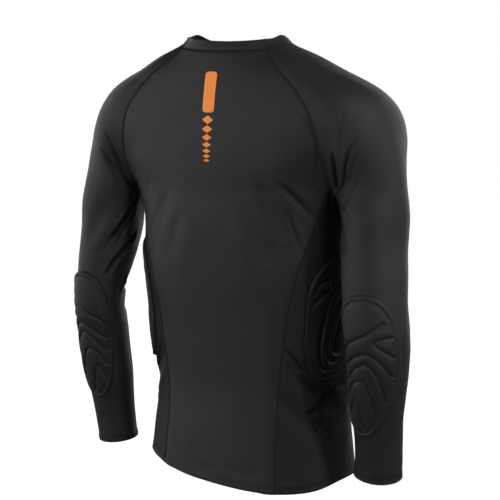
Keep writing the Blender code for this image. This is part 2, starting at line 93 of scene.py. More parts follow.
# Sleeve rings: centre x, y, z, half width, half depth, and the degrees of the back seam's column.
SLEEVES = {
    "left": [
        (0.2460, 0.041, -0.255, 0.0490, 0.0555, 146.0),
        (0.2475, 0.048, -0.300, 0.0465, 0.0520, 126.0),
        (0.2510, 0.057, -0.343, 0.0435, 0.0480, 108.0),
        (0.2542, 0.066, -0.384, 0.0378, 0.0435, 108.0),
        (0.2550, 0.068, -0.424, 0.0360, 0.0420, 108.0),
        (0.2570, 0.059, -0.466, 0.0378, 0.0415, 108.0),
        (0.2575, 0.051, -0.512, 0.0382, 0.0405, 108.0),
        (0.2580, 0.042, -0.560, 0.0365, 0.0370, 108.0),
        (0.2570, 0.034, -0.612, 0.0330, 0.0325, 108.0),
        (0.2545, 0.029, -0.657, 0.0325, 0.0315, 108.0),
    ],
    "right": [
        (0.2455, 0.041, -0.250, 0.0485, 0.0555, 146.0),
        (0.2490, 0.048, -0.290, 0.0475, 0.0525, 126.0),
        (0.2550, 0.057, -0.330, 0.0470, 0.0510, 108.0),
        (0.2610, 0.065, -0.370, 0.0462, 0.0490, 108.0),
        (0.2665, 0.067, -0.410, 0.0460, 0.0480, 108.0),
        (0.2665, 0.062, -0.450, 0.0442, 0.0460, 108.0),
        (0.2625, 0.055, -0.494, 0.0410, 0.0425, 108.0),
        (0.2568, 0.047, -0.540, 0.0382, 0.0380, 108.0),
        (0.2532, 0.037, -0.590, 0.0354, 0.0345, 108.0),
        (0.2484, 0.030, -0.636, 0.0362, 0.0335, 108.0),
    ],
}

# Folds and creases in the worn cloth: the part, half width, depth, and the places the trough runs
# through, each an angle in degrees and a height. Angles on the body turn from the wearer's left side
# towards the back, and on a sleeve from outward towards the back.
FOLDS = [
    # broad soft folds, as in the CAD model
    ("body", 0.016, 0.0035, ((128, -0.205), (143, -0.290))),
    ("body", 0.018, 0.0030, ((119, -0.235), (134, -0.330))),
    ("body", 0.018, 0.0020, ((57, -0.215), (44, -0.300))),
    ("body", 0.020, 0.0016, ((66, -0.250), (52, -0.335))),
    ("body", 0.017, 0.0035, ((146, -0.475), (176, -0.560))),
    ("body", 0.018, 0.0030, ((139, -0.520), (165, -0.600))),
    ("body", 0.017, 0.0030, ((36, -0.480), (8, -0.560))),
    ("body", 0.018, 0.0030, ((222, -0.215), (238, -0.300))),
    ("body", 0.018, 0.0030, ((-42, -0.215), (-58, -0.300))),
    ("body", 0.018, 0.0030, ((216, -0.480), (190, -0.560))),
    ("left", 0.014, 0.0020, ((118, -0.255), (92, -0.330))),
    ("left", 0.013, 0.0035, ((152, -0.290), (118, -0.350))),
    ("right", 0.014, 0.0030, ((150, -0.250), (118, -0.310))),
    ("left", 0.012, 0.0035, ((-70, -0.395), (-140, -0.440))),
    ("right", 0.012, 0.0035, ((-70, -0.380), (-140, -0.425))),
    # creases that fan from the wearer's right armpit up into the sleeve
    ("right", 0.0034, 0.0044, ((84, -0.142), (93, -0.164), (103, -0.186), (116, -0.208), (140, -0.220))),
    ("right", 0.0042, 0.0056, ((112, -0.164), (122, -0.192), (140, -0.216))),
    ("right", 0.0050, 0.0012, ((96, -0.100), (98, -0.141), (106, -0.176))),
    ("right", 0.0048, 0.0044, ((122, -0.196), (136, -0.216), (148, -0.240))),
    ("right", 0.0045, 0.0016, ((90, -0.206), (106, -0.226), (128, -0.236))),
    ("right", 0.0040, 0.0014, ((84, -0.160), (96, -0.190), (110, -0.214))),
    ("body", 0.0042, 0.0030, ((145, -0.096), (147, -0.112), (150, -0.142), (152, -0.171), (153, -0.186))),
    ("body", 0.0050, 0.0030, ((156, -0.196), (160, -0.216), (163, -0.240))),
    ("right", 0.0030, 0.0022, ((146, -0.238), (128, -0.240), (112, -0.243))),
    ("right", 0.0030, 0.0024, ((160, -0.262), (134, -0.268), (116, -0.272))),
    ("right", 0.0032, 0.0020, ((156, -0.290), (134, -0.300), (118, -0.306))),
    # the same on the left
    ("left", 0.0045, 0.0036, ((112, -0.146), (124, -0.182), (138, -0.213), (172, -0.241))),
    ("left", 0.0045, 0.0030, ((112, -0.192), (135, -0.216), (159, -0.233))),
    ("left", 0.0050, 0.0026, ((104, -0.172), (120, -0.205), (140, -0.232))),
    ("left", 0.0056, 0.0058, ((176, -0.246), (160, -0.276), (145, -0.302), (134, -0.322))),
    ("left", 0.0040, 0.0034, ((176, -0.268), (156, -0.300), (141, -0.335))),
    ("left", 0.0056, 0.0054, ((190, -0.300), (166, -0.330), (150, -0.352), (138, -0.376))),
    ("left", 0.0045, 0.0030, ((222, -0.345), (198, -0.384), (178, -0.405))),
    # fronts of the armpits
    ("right", 0.0050, 0.0022, ((-124, -0.202), (-100, -0.166), (-86, -0.128))),
    ("right", 0.0060, 0.0020, ((-130, -0.226), (-98, -0.196), (-74, -0.168))),
    ("left", 0.0050, 0.0022, ((-122, -0.200), (-104, -0.160), (-92, -0.118))),
    ("left", 0.0060, 0.0020, ((-134, -0.228), (-102, -0.200), (-80, -0.160))),
    ("left", 0.0055, 0.0022, ((-150, -0.260), (-126, -0.292), (-112, -0.330))),
    ("right", 0.0055, 0.0020, ((-152, -0.256), (-128, -0.284), (-110, -0.318))),
    # back below the armpits
    ("body", 0.0046, 0.0030, ((142, -0.236), (145, -0.258), (148, -0.284), (151, -0.306))),
    ("body", 0.0070, 0.0032, ((137, -0.200), (146, -0.224), (156, -0.257))),
    ("body", 0.0080, 0.0016, ((128, -0.222), (134, -0.262), (139, -0.292))),
    ("body", 0.0060, 0.0012, ((150, -0.200), (154, -0.212), (160, -0.232))),
    ("body", 0.0090, 0.0008, ((42, -0.203), (35, -0.240), (31, -0.274))),
    ("body", 0.0090, 0.0007, ((53, -0.232), (42, -0.268), (33, -0.296))),
    ("body", 0.0060, 0.0018, ((-38, -0.216), (-48, -0.246), (-52, -0.282))),
    ("body", 0.0060, 0.0018, ((220, -0.212), (230, -0.244), (234, -0.280))),
    ("body", 0.0130, 0.0012, ((226, -0.210), (240, -0.232), (258, -0.262))),
    ("body", 0.0120, 0.0012, ((-46, -0.206), (-60, -0.232), (-76, -0.258))),
    # below the side pads
    ("body", 0.0050, 0.0046, ((144, -0.452), (149, -0.468), (155, -0.490), (163, -0.520))),
    ("body", 0.0046, 0.0028, ((150, -0.492), (157, -0.512), (166, -0.530))),
    ("body", 0.0072, 0.0062, ((157, -0.562), (163, -0.543), (169, -0.526), (178, -0.506))),
    ("body", 0.0040, 0.0034, ((161, -0.586), (168, -0.562), (175, -0.544), (184, -0.524))),
    ("body", 0.0060, 0.0034, ((166, -0.606), (175, -0.578), (184, -0.552))),
    ("body", 0.0110, 0.0016, ((140, -0.380), (140, -0.440), (141, -0.520))),
    ("body", 0.0060, 0.0028, ((36, -0.458), (27, -0.492), (17, -0.526))),
    ("body", 0.0060, 0.0022, ((22, -0.568), (10, -0.546), (-2, -0.520))),
    ("body", 0.0070, 0.0022, ((14, -0.606), (2, -0.572), (-10, -0.538))),
    # inside the elbows
    ("left", 0.0050, 0.0022, ((-60, -0.412), (-100, -0.428), (-150, -0.450))),
    ("left", 0.0050, 0.0020, ((-64, -0.382), (-110, -0.396), (-160, -0.392))),
    ("right", 0.0050, 0.0022, ((-58, -0.398), (-104, -0.416), (-152, -0.436))),
    ("right", 0.0050, 0.0020, ((-70, -0.366), (-112, -0.380), (-158, -0.374))),
    # a slight ripple over the hem, front and back
    ("body", 0.0110, 0.0006, ((62, -0.646), (78, -0.652), (100, -0.650))),
    ("body", 0.0120, 0.0007, ((100, -0.640), (116, -0.650), (136, -0.642))),
    ("body", 0.0090, 0.0012, ((-70, -0.642), (-92, -0.648), (-112, -0.640))),
]
# Section of a fold, in half widths: the trough, and the ridges beside it with their share of its depth.
TROUGH = 0.62
RIDGE, RIDGE_PLACE, RIDGE_WIDTH = 0.34, 1.35, 0.50
FOLD_REACH = 3           # how far from its path a fold is worked out, in half widths
FOLD_FACING = 0.1        # least cosine between it and the cloth that it marks
FOLD_FADE = 0.6          # how suddenly it dies away at its ends
FOLD_STEPS = 6           # steps of its path between two places
CORNER_SOFT = 1e-4       # keeps a normal smooth close to a corner
# Narrow folds are creases, with painted shade at the bottom.
CREASE_NARROW = 0.0085   # a fold of a smaller half width is a crease
CREASE_FULL = 0.0042     # the depth at which its painted shade is darkest
CREASE_CORE = 0.72       # width of the painted shade, in half widths
CREASE_SHADE_DARK = 0.94       # how much of the cloth's lightness the painted shade takes at the bottom
CREASE_SHADE_BLACK = (0.0007, 0.0007, 0.0007)
# Slow unevenness of the worn cloth: size of a wave, and height.
DRIFTS = [(0.075, 0.0011), (0.028, 0.0004)]

# Panels in the order of their numbers on the form, and the panels across a ring.
PANELS = ["back", "front", "side_panel_left", "side_panel_right", "sleeve_left", "sleeve_right", "collar"]
BODY_PANELS = (["back"] * BACK_EDGES + ["side_panel_left"] * SIDE_EDGES
               + ["front"] * BACK_EDGES + ["side_panel_right"] * SIDE_EDGES)
YOKE_PANELS = (["back"] * BACK_EDGES + ["sleeve_left"] * CAP_EDGES
               + ["front"] * BACK_EDGES + ["sleeve_right"] * CAP_EDGES)

# Cloth.
CLOTH_WALL = 0.0009
EDGE_ROLL = 0.25         # how far a panel's edge is rounded over, as a share of its wall
SEAM_LAP = 0.0001        # how far two panels' rolled edges run into each other
HEM_HEIGHT = 0.0085      # turned hem of the body and the cuffs
HEM_RISE = 0.0006        # how far its second layer stands out
HEM_STEP = 0.0016        # the width over which it rises
HEM_ROWS = (0.0045, 0.0072)   # stitch rows, from the edge
# Painted shade: the dark line where the turned hem ends, with how far up, how wide, how dark.
HEM_SHADE_PLACE, HEM_SHADE_WIDTH, HEM_SHADE_DARK = 0.0100, 0.0021, 0.90
BAND_WALL = 0.0022       # doubled neckband
SEAM_DIP = 0.0008        # the cloth is drawn down along a seam
SEAM_DIP_WIDTH = 0.0075
CLOSE = 0.02             # distances from a seam or an edge are exact when they are shorter than this


def in_scene(name, data):
    """A new object in the scene."""
    holder = bpy.data.objects.new(name, data)
    bpy.context.scene.collection.objects.link(holder)
    return holder


def shaped_mesh(holder):
    """A plain mesh of the object as its modifiers shape it. The object itself is removed."""
    bpy.context.view_layer.update()
    made = bpy.data.meshes.new_from_object(holder.evaluated_get(bpy.context.evaluated_depsgraph_get()))
    bpy.data.objects.remove(holder)
    return made


def add_node(tree, kind, inputs=(), **settings):
    """A new node. Each input is a value, or the socket that it is linked to."""
    made = tree.nodes.new(kind)
    for key, value in settings.items():
        setattr(made, key, value)
    for socket, source in dict(inputs).items():
        if isinstance(source, bpy.types.NodeSocket):
            tree.links.new(source, made.inputs[socket])
        else:
            made.inputs[socket].default_value = source
    return made


def near_tree(places, numbers):
    """A tree that finds the nearest of the places, and gives its number."""
    tree = KDTree(len(places))
    for place, number in zip(places, numbers):
        tree.insert(place, number)
    tree.balance()
    return tree


def mix(low, high, share):
    return low + (high - low) * share


def smooth_step(share):
    share = np.clip(share, 0, 1)
    return share * share * (3 - 2 * share)


def bell(distance, width):
    """1 at no distance, falling smoothly to nothing a few widths away."""
    return np.exp(-(distance / width) ** 2)


def grid_faces(ids, flip=False):
    """Quads of a grid of corner numbers."""
    faces = np.stack([ids[:-1, :-1], ids[:-1, 1:], ids[1:, 1:], ids[1:, :-1]], axis=-1).reshape(-1, 4)
    return (faces[:, ::-1] if flip else faces).tolist()


def grid_rim(ids):
    """The corner numbers round the edge of a grid, in order."""
    return np.concatenate([ids[0, :-1], ids[:-1, -1], ids[-1, :0:-1], ids[:0:-1, 0]])


def superellipse(half_x, half_y, angle, power):
    """A point of a superellipse round the origin, at that angle from +X."""
    c, s = math.cos(angle), math.sin(angle)
    return (half_x * math.copysign(abs(c) ** (2 / power), c),
            half_y * math.copysign(abs(s) ** (2 / power), s))


def middle_arc(side, middle, share, flatness):
    """A point between two mirrored side points, through the middle one. share runs from -1 to 1."""
    blend = abs(share) ** flatness
    return Vector((side[0] * share,
                   middle[0] + (side[1] - middle[0]) * blend,
                   middle[1] + (side[2] - middle[1]) * blend))


def yoke_row(index):
    """A row of the yoke's table in metres and radians."""
    row = YOKE_MM[index]
    return [Vector(place) * MM for place in row[:5]] + [math.radians(row[5]), row[6] * MM]


def cap_arc(row, share):
    """A point on the ovals that run from the back seam over the crest to the front seam."""
    end = row[0] if share < 0 else row[3]
    crest = row[2]
    whole = row[5]
    turn = abs(share) * whole
    along = (1 - math.cos(turn)) / (1 - math.cos(whole))
    across = math.sin(turn) / math.sin(whole)
    return Vector((crest.x + (end.x - crest.x) * along,
                   crest.y + (end.y - crest.y) * across,
                   crest.z + (end.z - crest.z) * along))


def yoke_ring(row):
    """Points of a yoke ring: back from right to left, left cap, front from left to right, right cap."""
    back, back_middle, _, front, front_middle, _, shift = row
    ring = []
    for i in range(BACK_EDGES):
        ring.append(middle_arc(back, back_middle, -1 + 2 * i / BACK_EDGES, BACK_FLATNESS))
    for i in range(CAP_EDGES):
        ring.append(cap_arc(row, -1 + 2 * i / CAP_EDGES))
    for i in range(BACK_EDGES):
        ring.append(middle_arc(front, front_middle, 1 - 2 * i / BACK_EDGES, FRONT_FLATNESS))
    for i in range(CAP_EDGES):
        point = cap_arc(row, 1 - 2 * i / CAP_EDGES)
        ring.append(Vector((-point.x, point.y, point.z)))
    return [point + Vector((shift, 0, 0)) for point in ring]


def collar_ring(seam_ring):
    """The neckband's free edge: the neck seam lifted and drawn in a little."""
    centre = sum(seam_ring, Vector()) / len(seam_ring)
    reach = max(abs(point.x - centre.x) for point in seam_ring)
    depth = max(point.y - centre.y for point in seam_ring)
    ring = []
    for index, point in enumerate(seam_ring):
        along = (index - BACK_EDGES) % (BACK_EDGES + CAP_EDGES)
        share = abs(2 * along / CAP_EDGES - 1) if along <= CAP_EDGES else 1.0
        dip = COLLAR_DIP * math.sin(math.pi * share ** DIP_POWER)
        sideways, backwards = (point.x - centre.x) / reach, max(0.0, (point.y - centre.y) / depth)
        lift = (COLLAR_RISE + COLLAR_TILT * sideways) * backwards
        lean = COLLAR_LEAN - COLLAR_SIDE_LEAN * sideways ** LEAN_POWER
        ring.append(Vector((centre.x + (point.x - centre.x) * lean,
                            centre.y + (point.y - centre.y) * COLLAR_LEAN,
                            point.z + COLLAR_HEIGHT - dip + lift)))
    return ring


def drop_angle(angle):
    """The angle turned so that the hem's lowest place on the back counts as its middle."""
    lowest = math.radians(HEM_LOWEST)
    if not 0 < angle < math.pi:
        return angle
    if angle < lowest:
        return angle / lowest * math.pi / 2
    return math.pi / 2 + (angle - lowest) / (math.pi - lowest) * math.pi / 2


def body_point(row, angle):
    """A point of a body ring, at that angle from the wearer's left side towards the back."""
    height, half_width, back_y, front_y, _, _, back_drop, front_drop = row
    reach = back_y if math.sin(angle) > 0 else -front_y
    x, y = superellipse(half_width, reach, angle, BODY_SQUARENESS)
    lean = abs(math.sin(drop_angle(angle))) ** DROP_POWER
    drop = (back_drop if math.sin(angle) > 0 else front_drop) * lean
    swing = max(0.0, (height - SWING_FROM) / (BODY[-1][0] - SWING_FROM)) * HEM_SWING / 2
    return Vector((x, y, height - drop + swing * x / half_width))


def body_ring(row):
    """Points of a body ring: back from right to left, left side, front from left to right, right side."""
    back_seam, front_seam = math.radians(row[4]), math.radians(row[5])
    stretches = [
        (math.pi - back_seam, back_seam, BACK_EDGES),
        (back_seam, -front_seam, SIDE_EDGES),
        (-front_seam, front_seam - math.pi, BACK_EDGES),
        (math.pi + front_seam, math.pi - back_seam, SIDE_EDGES),
    ]
    return [body_point(row, start + (end - start) * i / edges)
            for start, end, edges in stretches for i in range(edges)]


def underarm_points(row):
    """The points between the back and front raglan seams' ends, on the wearer's left."""
    back, front = row[0], row[3]
    points = []
    for i in range(1, SIDE_EDGES):
        share = i / SIDE_EDGES
        bow = math.sin(math.pi * share)
        points.append(back.lerp(front, share) + Vector((UNDERARM_OUT * bow, 0, -UNDERARM_DROP * bow)))
    return points


def sleeve_frame(rows, index):
    """A sleeve ring's centre, its outward and backward directions, as if on the wearer's left."""
    centre = Vector(rows[index][:3])
    above = Vector(rows[max(index - 1, 0)][:3])
    below = Vector(rows[min(index + 1, len(rows) - 1)][:3])
    down = (below - above).normalized()
    outward = Vector((1, 0, 0))
    outward = (outward - down * outward.dot(down)).normalized()
    backward = outward.cross(down)
    return centre, outward, backward


def sleeve_ring(rows, index):
    """Points of a sleeve ring, from the back seam's column out over the arm."""
    centre, outward, backward = sleeve_frame(rows, index)
    half_width, half_depth, seam_deg = rows[index][3:]
    seam = math.radians(seam_deg)
    under = 2 * math.pi - 2 * seam
    angles = [seam - 2 * seam * i / CAP_EDGES for i in range(CAP_EDGES)]
    angles += [-seam - under * i / SIDE_EDGES for i in range(SIDE_EDGES)]
    return [centre + outward * (half_width * math.cos(angle)) + backward * (half_depth * math.sin(angle))
            for angle in angles]


def mirrored(points):
    """The same points on the wearer's other side."""
    return [Vector((-p.x, p.y, p.z)) for p in points]


class Cage:
    """Target points, faces, each face's panel, and the flat place of each face's corners as cut."""

    def __init__(self):
        self.points, self.faces, self.panels, self.flats = [], [], [], []
        self.depths = {}

    def add(self, new):
        """Add points, and give their numbers."""
        first = len(self.points)
        self.points.extend(new)
        return list(range(first, first + len(new)))

    def spread(self, ring, columns, middle):
        """How far each of a stretch's points lies from its middle point, along the ring."""
        places = [self.points[ring[c % len(ring)]] for c in columns]
        lengths = [0.0]
        for a, b in zip(places, places[1:]):
            lengths.append(lengths[-1] + (b - a).length)
        return [length - lengths[middle] for length in lengths]

    def bridge(self, upper, lower, names, flip=False, start=0):
        """Quads between two closed rings of point numbers. names gives the panel of each column."""
        count = len(names)
        done = 0
        while done < count:
            name = names[(start + done) % count]
            run = 1
            while done + run < count and names[(start + done + run) % count] == name:
                run += 1
            columns = list(range(start + done, start + done + run + 1))
            middle = run // 2
            high, low = self.spread(upper, columns, middle), self.spread(lower, columns, middle)
            centre = columns[middle] % count
            drop = (self.points[upper[centre]] - self.points[lower[centre]]).length
            top = self.depths.get(name, 0.0)
            self.depths[name] = top - drop
            for k in range(run):
                i, j = columns[k] % count, columns[k + 1] % count
                quad = [upper[i], upper[j], lower[j], lower[i]]
                flat = [(high[k], top), (high[k + 1], top), (low[k + 1], top - drop), (low[k], top - drop)]
                self.faces.append(quad[::-1] if flip else quad)
                self.flats.append(flat[::-1] if flip else flat)
                self.panels.append(PANELS.index(name))
            done += run


def make_cage():
    """The whole shirt: collar, yoke, body and sleeves."""
    cage = Cage()
    rows = [yoke_row(index) for index in range(len(YOKE_MM))]
    yoke = [cage.add(yoke_ring(row)) for row in rows]
    collar = cage.add(collar_ring(yoke_ring(rows[0])))
    front_middle = BACK_EDGES + CAP_EDGES + BACK_EDGES // 2
    cage.bridge(collar, yoke[0], ["collar"] * len(collar), start=front_middle)
    for upper, lower in zip(yoke, yoke[1:]):
        cage.bridge(upper, lower, YOKE_PANELS)

    last = yoke[-1]
    left_start, front_start = BACK_EDGES, BACK_EDGES + CAP_EDGES
    right_start = front_start + BACK_EDGES
    under_left = cage.add(underarm_points(rows[-1]))
    under_right = cage.add(mirrored(underarm_points(rows[-1])))

    upper = last[:left_start + 1] + under_left + last[front_start:right_start + 1] + under_right[::-1]
    for row in BODY:
        lower = cage.add(body_ring(row))
        cage.bridge(upper, lower, BODY_PANELS)
        upper = lower

    left_top = last[left_start:front_start + 1] + under_left[::-1]
    right_top = [last[0]] + last[:right_start - 1:-1] + under_right[::-1]
    underarm = CAP_EDGES + SIDE_EDGES // 2
    for side, upper in (("left", left_top), ("right", right_top)):
        names = ["sleeve_" + side] * len(upper)
        for index in range(len(SLEEVES[side])):
            ring = sleeve_ring(SLEEVES[side], index)
            lower = cage.add(mirrored(ring) if side == "right" else ring)
            cage.bridge(upper, lower, names, flip=side == "right", start=underarm)
            upper = lower
    return cage


def smooth_form(points, cage, levels):
    """A Subdivision Surface of the cage as a plain mesh whose corners lie on the smooth surface."""
    mesh = bpy.data.meshes.new("cage")
    mesh.from_pydata([tuple(p) for p in points], [], cage.faces)
    mesh.polygons.foreach_set("material_index", cage.panels)
    flats = mesh.uv_layers.new(name="flat")
    flats.data.foreach_set("uv", [n for flat in cage.flats for corner in flat for n in corner])
    holder = in_scene("cage", mesh)
    for _ in PANELS:
        mesh.materials.append(None)
    smoother = holder.modifiers.new("smooth", "SUBSURF")
    smoother.levels = smoother.render_levels = levels
    smoother.uv_smooth = "NONE"
    made = shaped_mesh(holder)
    bpy.data.meshes.remove(mesh)
    return made


def corner_array(mesh, normals=False):
    """The mesh's corners, or its smooth normals there, as an array."""
    flat = np.zeros(len(mesh.vertices) * 3)
    source = mesh.vertex_normals if normals else mesh.vertices
    source.foreach_get("vector" if normals else "co", flat)
    return flat.reshape(-1, 3)


def fitted_points(cage):
    """The cage's corners, moved until its smooth surface passes through the tables' points."""
    target = np.array([tuple(p) for p in cage.points])
    points = target.copy()
    for _ in range(FIT_PASSES):
        form = smooth_form(points, cage, 1)
        points += target - corner_array(form)[:len(target)]
        bpy.data.meshes.remove(form)
    return points


def body_axis(height, degrees):
    """A point on the body's axis at that height, and the direction out at that angle."""
    angle = math.radians(degrees)
    return Vector((0, 0, height)), Vector((math.cos(angle), math.sin(angle), 0))


def sleeve_axis(side, height, degrees):
    """A point on a sleeve's axis at that height, and the direction out at that angle."""
    rows = SLEEVES[side]
    index = 0
    while index < len(rows) - 2 and rows[index + 1][2] > height:
        index += 1
    share = (rows[index][2] - height) / (rows[index][2] - rows[index + 1][2])
    ends = sleeve_frame(rows, index), sleeve_frame(rows, index + 1)
    centre, outward, backward = [ends[0][k].lerp(ends[1][k], share) for k in range(3)]
    angle = math.radians(degrees)
    direction = outward * math.cos(angle) + backward * math.sin(angle)
    if side == "right":
        centre.x, direction.x = -centre.x, -direction.x
    return centre, direction.normalized()


class Surface:
    """Finds points of a mesh, and its smooth normals there, from inside the body or a sleeve."""

    def __init__(self, corners, normals, quads, numbers):
        self.corners, self.normals = corners, normals
        parts = {"body": [], "left": [], "right": [], "all": [tuple(quad) for quad in quads]}
        for quad, number in zip(parts["all"], numbers):
            name = PANELS[number]
            part = name.removeprefix("sleeve_") if name.startswith("sleeve_") else "body"
            parts[part].append(quad)
        self.faces = parts
        self.trees = {part: BVHTree.FromPolygons([Vector(c) for c in corners], faces)
                      for part, faces in parts.items()}

    def normal_at(self, part, index, point):
        """The smooth normal at a point of a face."""
        face = list(self.faces[part][index])
        weights = 1 / (np.linalg.norm(self.corners[face] - np.array(point), axis=1) + CORNER_SOFT)
        return Vector(weights @ self.normals[face]).normalized()

    def find(self, part, height, degrees):
        """The point at that height and angle, and its normal."""
        if part == "body":
            origin, direction = body_axis(height, degrees)
        else:
            origin, direction = sleeve_axis(part, height, degrees)
        point, _, index, _ = self.trees[part].ray_cast(origin, direction)
        return point, self.normal_at(part, index, point)

    def nearest(self, part, place):
        point, _, index, _ = self.trees[part].find_nearest(place)
        return point, self.normal_at(part, index, point)


def smooth_path(places, steps):
    """A Catmull-Rom curve through the places, as an array."""
    points = np.array([tuple(p) for p in places])
    if len(points) == 2:
        shares = np.linspace(0, 1, steps + 1)[:, None]
        return points[0] + (points[1] - points[0]) * shares
    padded = np.vstack([2 * points[0] - points[1], points, 2 * points[-1] - points[-2]])
    path = []
    for k in range(1, len(padded) - 2):
        a, b, c, d = padded[k - 1:k + 3]
        for t in np.linspace(0, 1, steps, endpoint=False):
            path.append(0.5 * (2 * b + (c - a) * t + (2 * a - 5 * b + 4 * c - d) * t ** 2
                               + (3 * b - a - 3 * c + d) * t ** 3))
    path.append(points[-1])
    return np.array(path)


def along_path(path, places):
    """Offset from the nearest point of the path, and the share of its length there, for each place."""
    runs = path[1:] - path[:-1]
    lengths = np.linalg.norm(runs, axis=1)
    starts = np.concatenate([[0], np.cumsum(lengths)[:-1]])
    best = np.full(len(places), np.inf)
    offsets = np.zeros(places.shape)
    shares = np.zeros(len(places))
    for start, run, length, before in zip(path[:-1], runs, lengths, starts):
        t = np.clip((places - start) @ run / length ** 2, 0, 1)
        away = places - (start + t[:, None] * run)
        distance = np.einsum("ij,ij->i", away, away)
        nearer = distance < best
        best[nearer] = distance[nearer]
        offsets[nearer] = away[nearer]
        shares[nearer] = (before + t[nearer] * length) / lengths.sum()
    return offsets, shares


def fold_moves(guide, corners, normals):
    """How far each corner is pressed in by the folds, with a soft ridge either side of each trough.

    Beside it, how deep in a narrow crease each corner lies, from 0 to 1, which is painted as shade.
    """
    moves = np.zeros(len(corners))
    painted_shade = np.zeros(len(corners))
    for part, half_width, depth, places in FOLDS:
        found = [guide.find(part, height, degrees) for degrees, height in places]
        path = smooth_path([point for point, _ in found], FOLD_STEPS)
        facing = np.array([tuple(normal) for _, normal in found]).mean(axis=0)
        around = FOLD_REACH * half_width
        inside = (corners > path.min(axis=0) - around) & (corners < path.max(axis=0) + around)
        near = np.where(inside.all(axis=1) & (normals @ facing > FOLD_FACING))[0]
        offsets, shares = along_path(path, corners[near])
        offsets -= normals[near] * np.einsum("ij,ij->i", offsets, normals[near])[:, None]
        reach = np.linalg.norm(offsets, axis=1) / half_width
        profile = bell(reach, TROUGH) - RIDGE * bell(reach - RIDGE_PLACE, RIDGE_WIDTH)
        fade = np.sin(math.pi * np.clip(shares, 0, 1)) ** FOLD_FADE
        moves[near] -= depth * fade * profile
        # A narrow crease also gets painted shade at its bottom.
        if half_width < CREASE_NARROW:
            crease_shade = depth / CREASE_FULL * fade * bell(reach, CREASE_CORE)
            painted_shade[near] = np.maximum(painted_shade[near], crease_shade)
    return moves, np.minimum(painted_shade, 1.0)


def drift(place):
    """Slow unevenness at a place, in metres."""
    return sum(height * noise.noise(Vector(place) / size) for size, height in DRIFTS)


class Form:
    """The finished outer surface of the cloth, with what is needed to cut panels and place seams."""

    def __init__(self, cage, points):
        rough = smooth_form(points, cage, GUIDE_LEVELS)
        self.guide = Surface(corner_array(rough), corner_array(rough, normals=True), *self.faces_of(rough))
        bpy.data.meshes.remove(rough)
        mesh = smooth_form(points, cage, FINE_LEVELS)
        self.corners, self.normals = corner_array(mesh), corner_array(mesh, normals=True)
        self.quads, self.numbers = self.faces_of(mesh)
        flats = np.zeros(len(mesh.loops) * 2)
        mesh.uv_layers["flat"].data.foreach_get("uv", flats)
        self.flats = flats.reshape(-1, 4, 2)
        self.find_seams()
        moves, painted_shade = fold_moves(self.guide, self.corners, self.normals)
        bare = self.bare_share()
        moves *= bare
        # Painted shade of the creases, kept off the cloth under the pads.
        self.painted_shade = painted_shade * bare
        moves += np.array([drift(c) for c in self.corners])
        inset = self.distance_to(self.seam_edges)
        moves -= SEAM_DIP * bell(inset, SEAM_DIP_WIDTH / 2)
        self.corners = self.corners + self.normals * moves[:, None]
        mesh.vertices.foreach_set("co", self.corners.ravel())
        mesh.update()
        self.normals = corner_array(mesh, normals=True)
        bpy.data.meshes.remove(mesh)
        self.surface = Surface(self.corners, self.normals, self.quads, self.numbers)
        self.hem = self.distance_to(self.free_edges)
        # Painted shade along the step where the turned hem ends, added to the crease shade.
        line = HEM_SHADE_DARK * bell(self.hem - HEM_SHADE_PLACE, HEM_SHADE_WIDTH)
        self.painted_shade = np.maximum(self.painted_shade, line)

    def bare_share(self):
        """1 on open cloth, falling to 0 under the pads."""
        places = pad_samples(self.guide)
        tree = near_tree(places, range(len(places)))
        distances = np.array([tree.find(corner)[2] for corner in self.corners])
        return smooth_step((distances - COVER_INNER) / (COVER_OUTER - COVER_INNER))

    @staticmethod
    def faces_of(mesh):
        """The mesh's quads, and the panel's number of each."""
        quads = np.zeros(len(mesh.polygons) * 4, dtype=np.int64)
        mesh.polygons.foreach_get("vertices", quads)
        numbers = np.zeros(len(mesh.polygons), dtype=np.int64)
        mesh.polygons.foreach_get("material_index", numbers)
        return quads.reshape(-1, 4), numbers

    def find_seams(self):
        """Edges between two panels, with the panels' numbers, and the edges of the openings."""
        heads = self.quads
        tails = np.roll(self.quads, -1, axis=1)
        pairs = np.stack([np.minimum(heads, tails).ravel(), np.maximum(heads, tails).ravel()], axis=1)
        owners = np.repeat(self.numbers, 4)
        order = np.lexsort((pairs[:, 1], pairs[:, 0]))
        pairs, owners = pairs[order], owners[order]
        same = (pairs[1:] == pairs[:-1]).all(axis=1)
        twice = np.zeros(len(pairs), dtype=bool)
        twice[1:] |= same
        twice[:-1] |= same
        firsts = np.where(same)[0]
        joins = firsts[owners[firsts] != owners[firsts + 1]]
        self.seam_edges = pairs[joins]
        self.seam_owners = np.sort(np.stack([owners[joins], owners[joins + 1]], axis=1), axis=1)
        self.free_edges = pairs[~twice]
        self.free_owners = owners[~twice]

    def distance_to(self, edges):
        """Each corner's distance from the nearest of these edges, exact when it is close."""
        ends = np.unique(edges)
        tree = near_tree(self.corners[ends], ends)
        touching = {}
        for a, b in edges:
            touching.setdefault(a, []).append(b)
            touching.setdefault(b, []).append(a)
        distances = np.zeros(len(self.corners))
        for index, corner in enumerate(self.corners):
            _, end, distance = tree.find(corner)
            if distance < CLOSE:
                for other in touching[end]:
                    run = self.corners[other] - self.corners[end]
                    t = min(1.0, max(0.0, (corner - self.corners[end]) @ run / (run @ run)))
                    distance = min(distance, float(np.linalg.norm(corner - self.corners[end] - run * t)))
            distances[index] = distance
        return distances


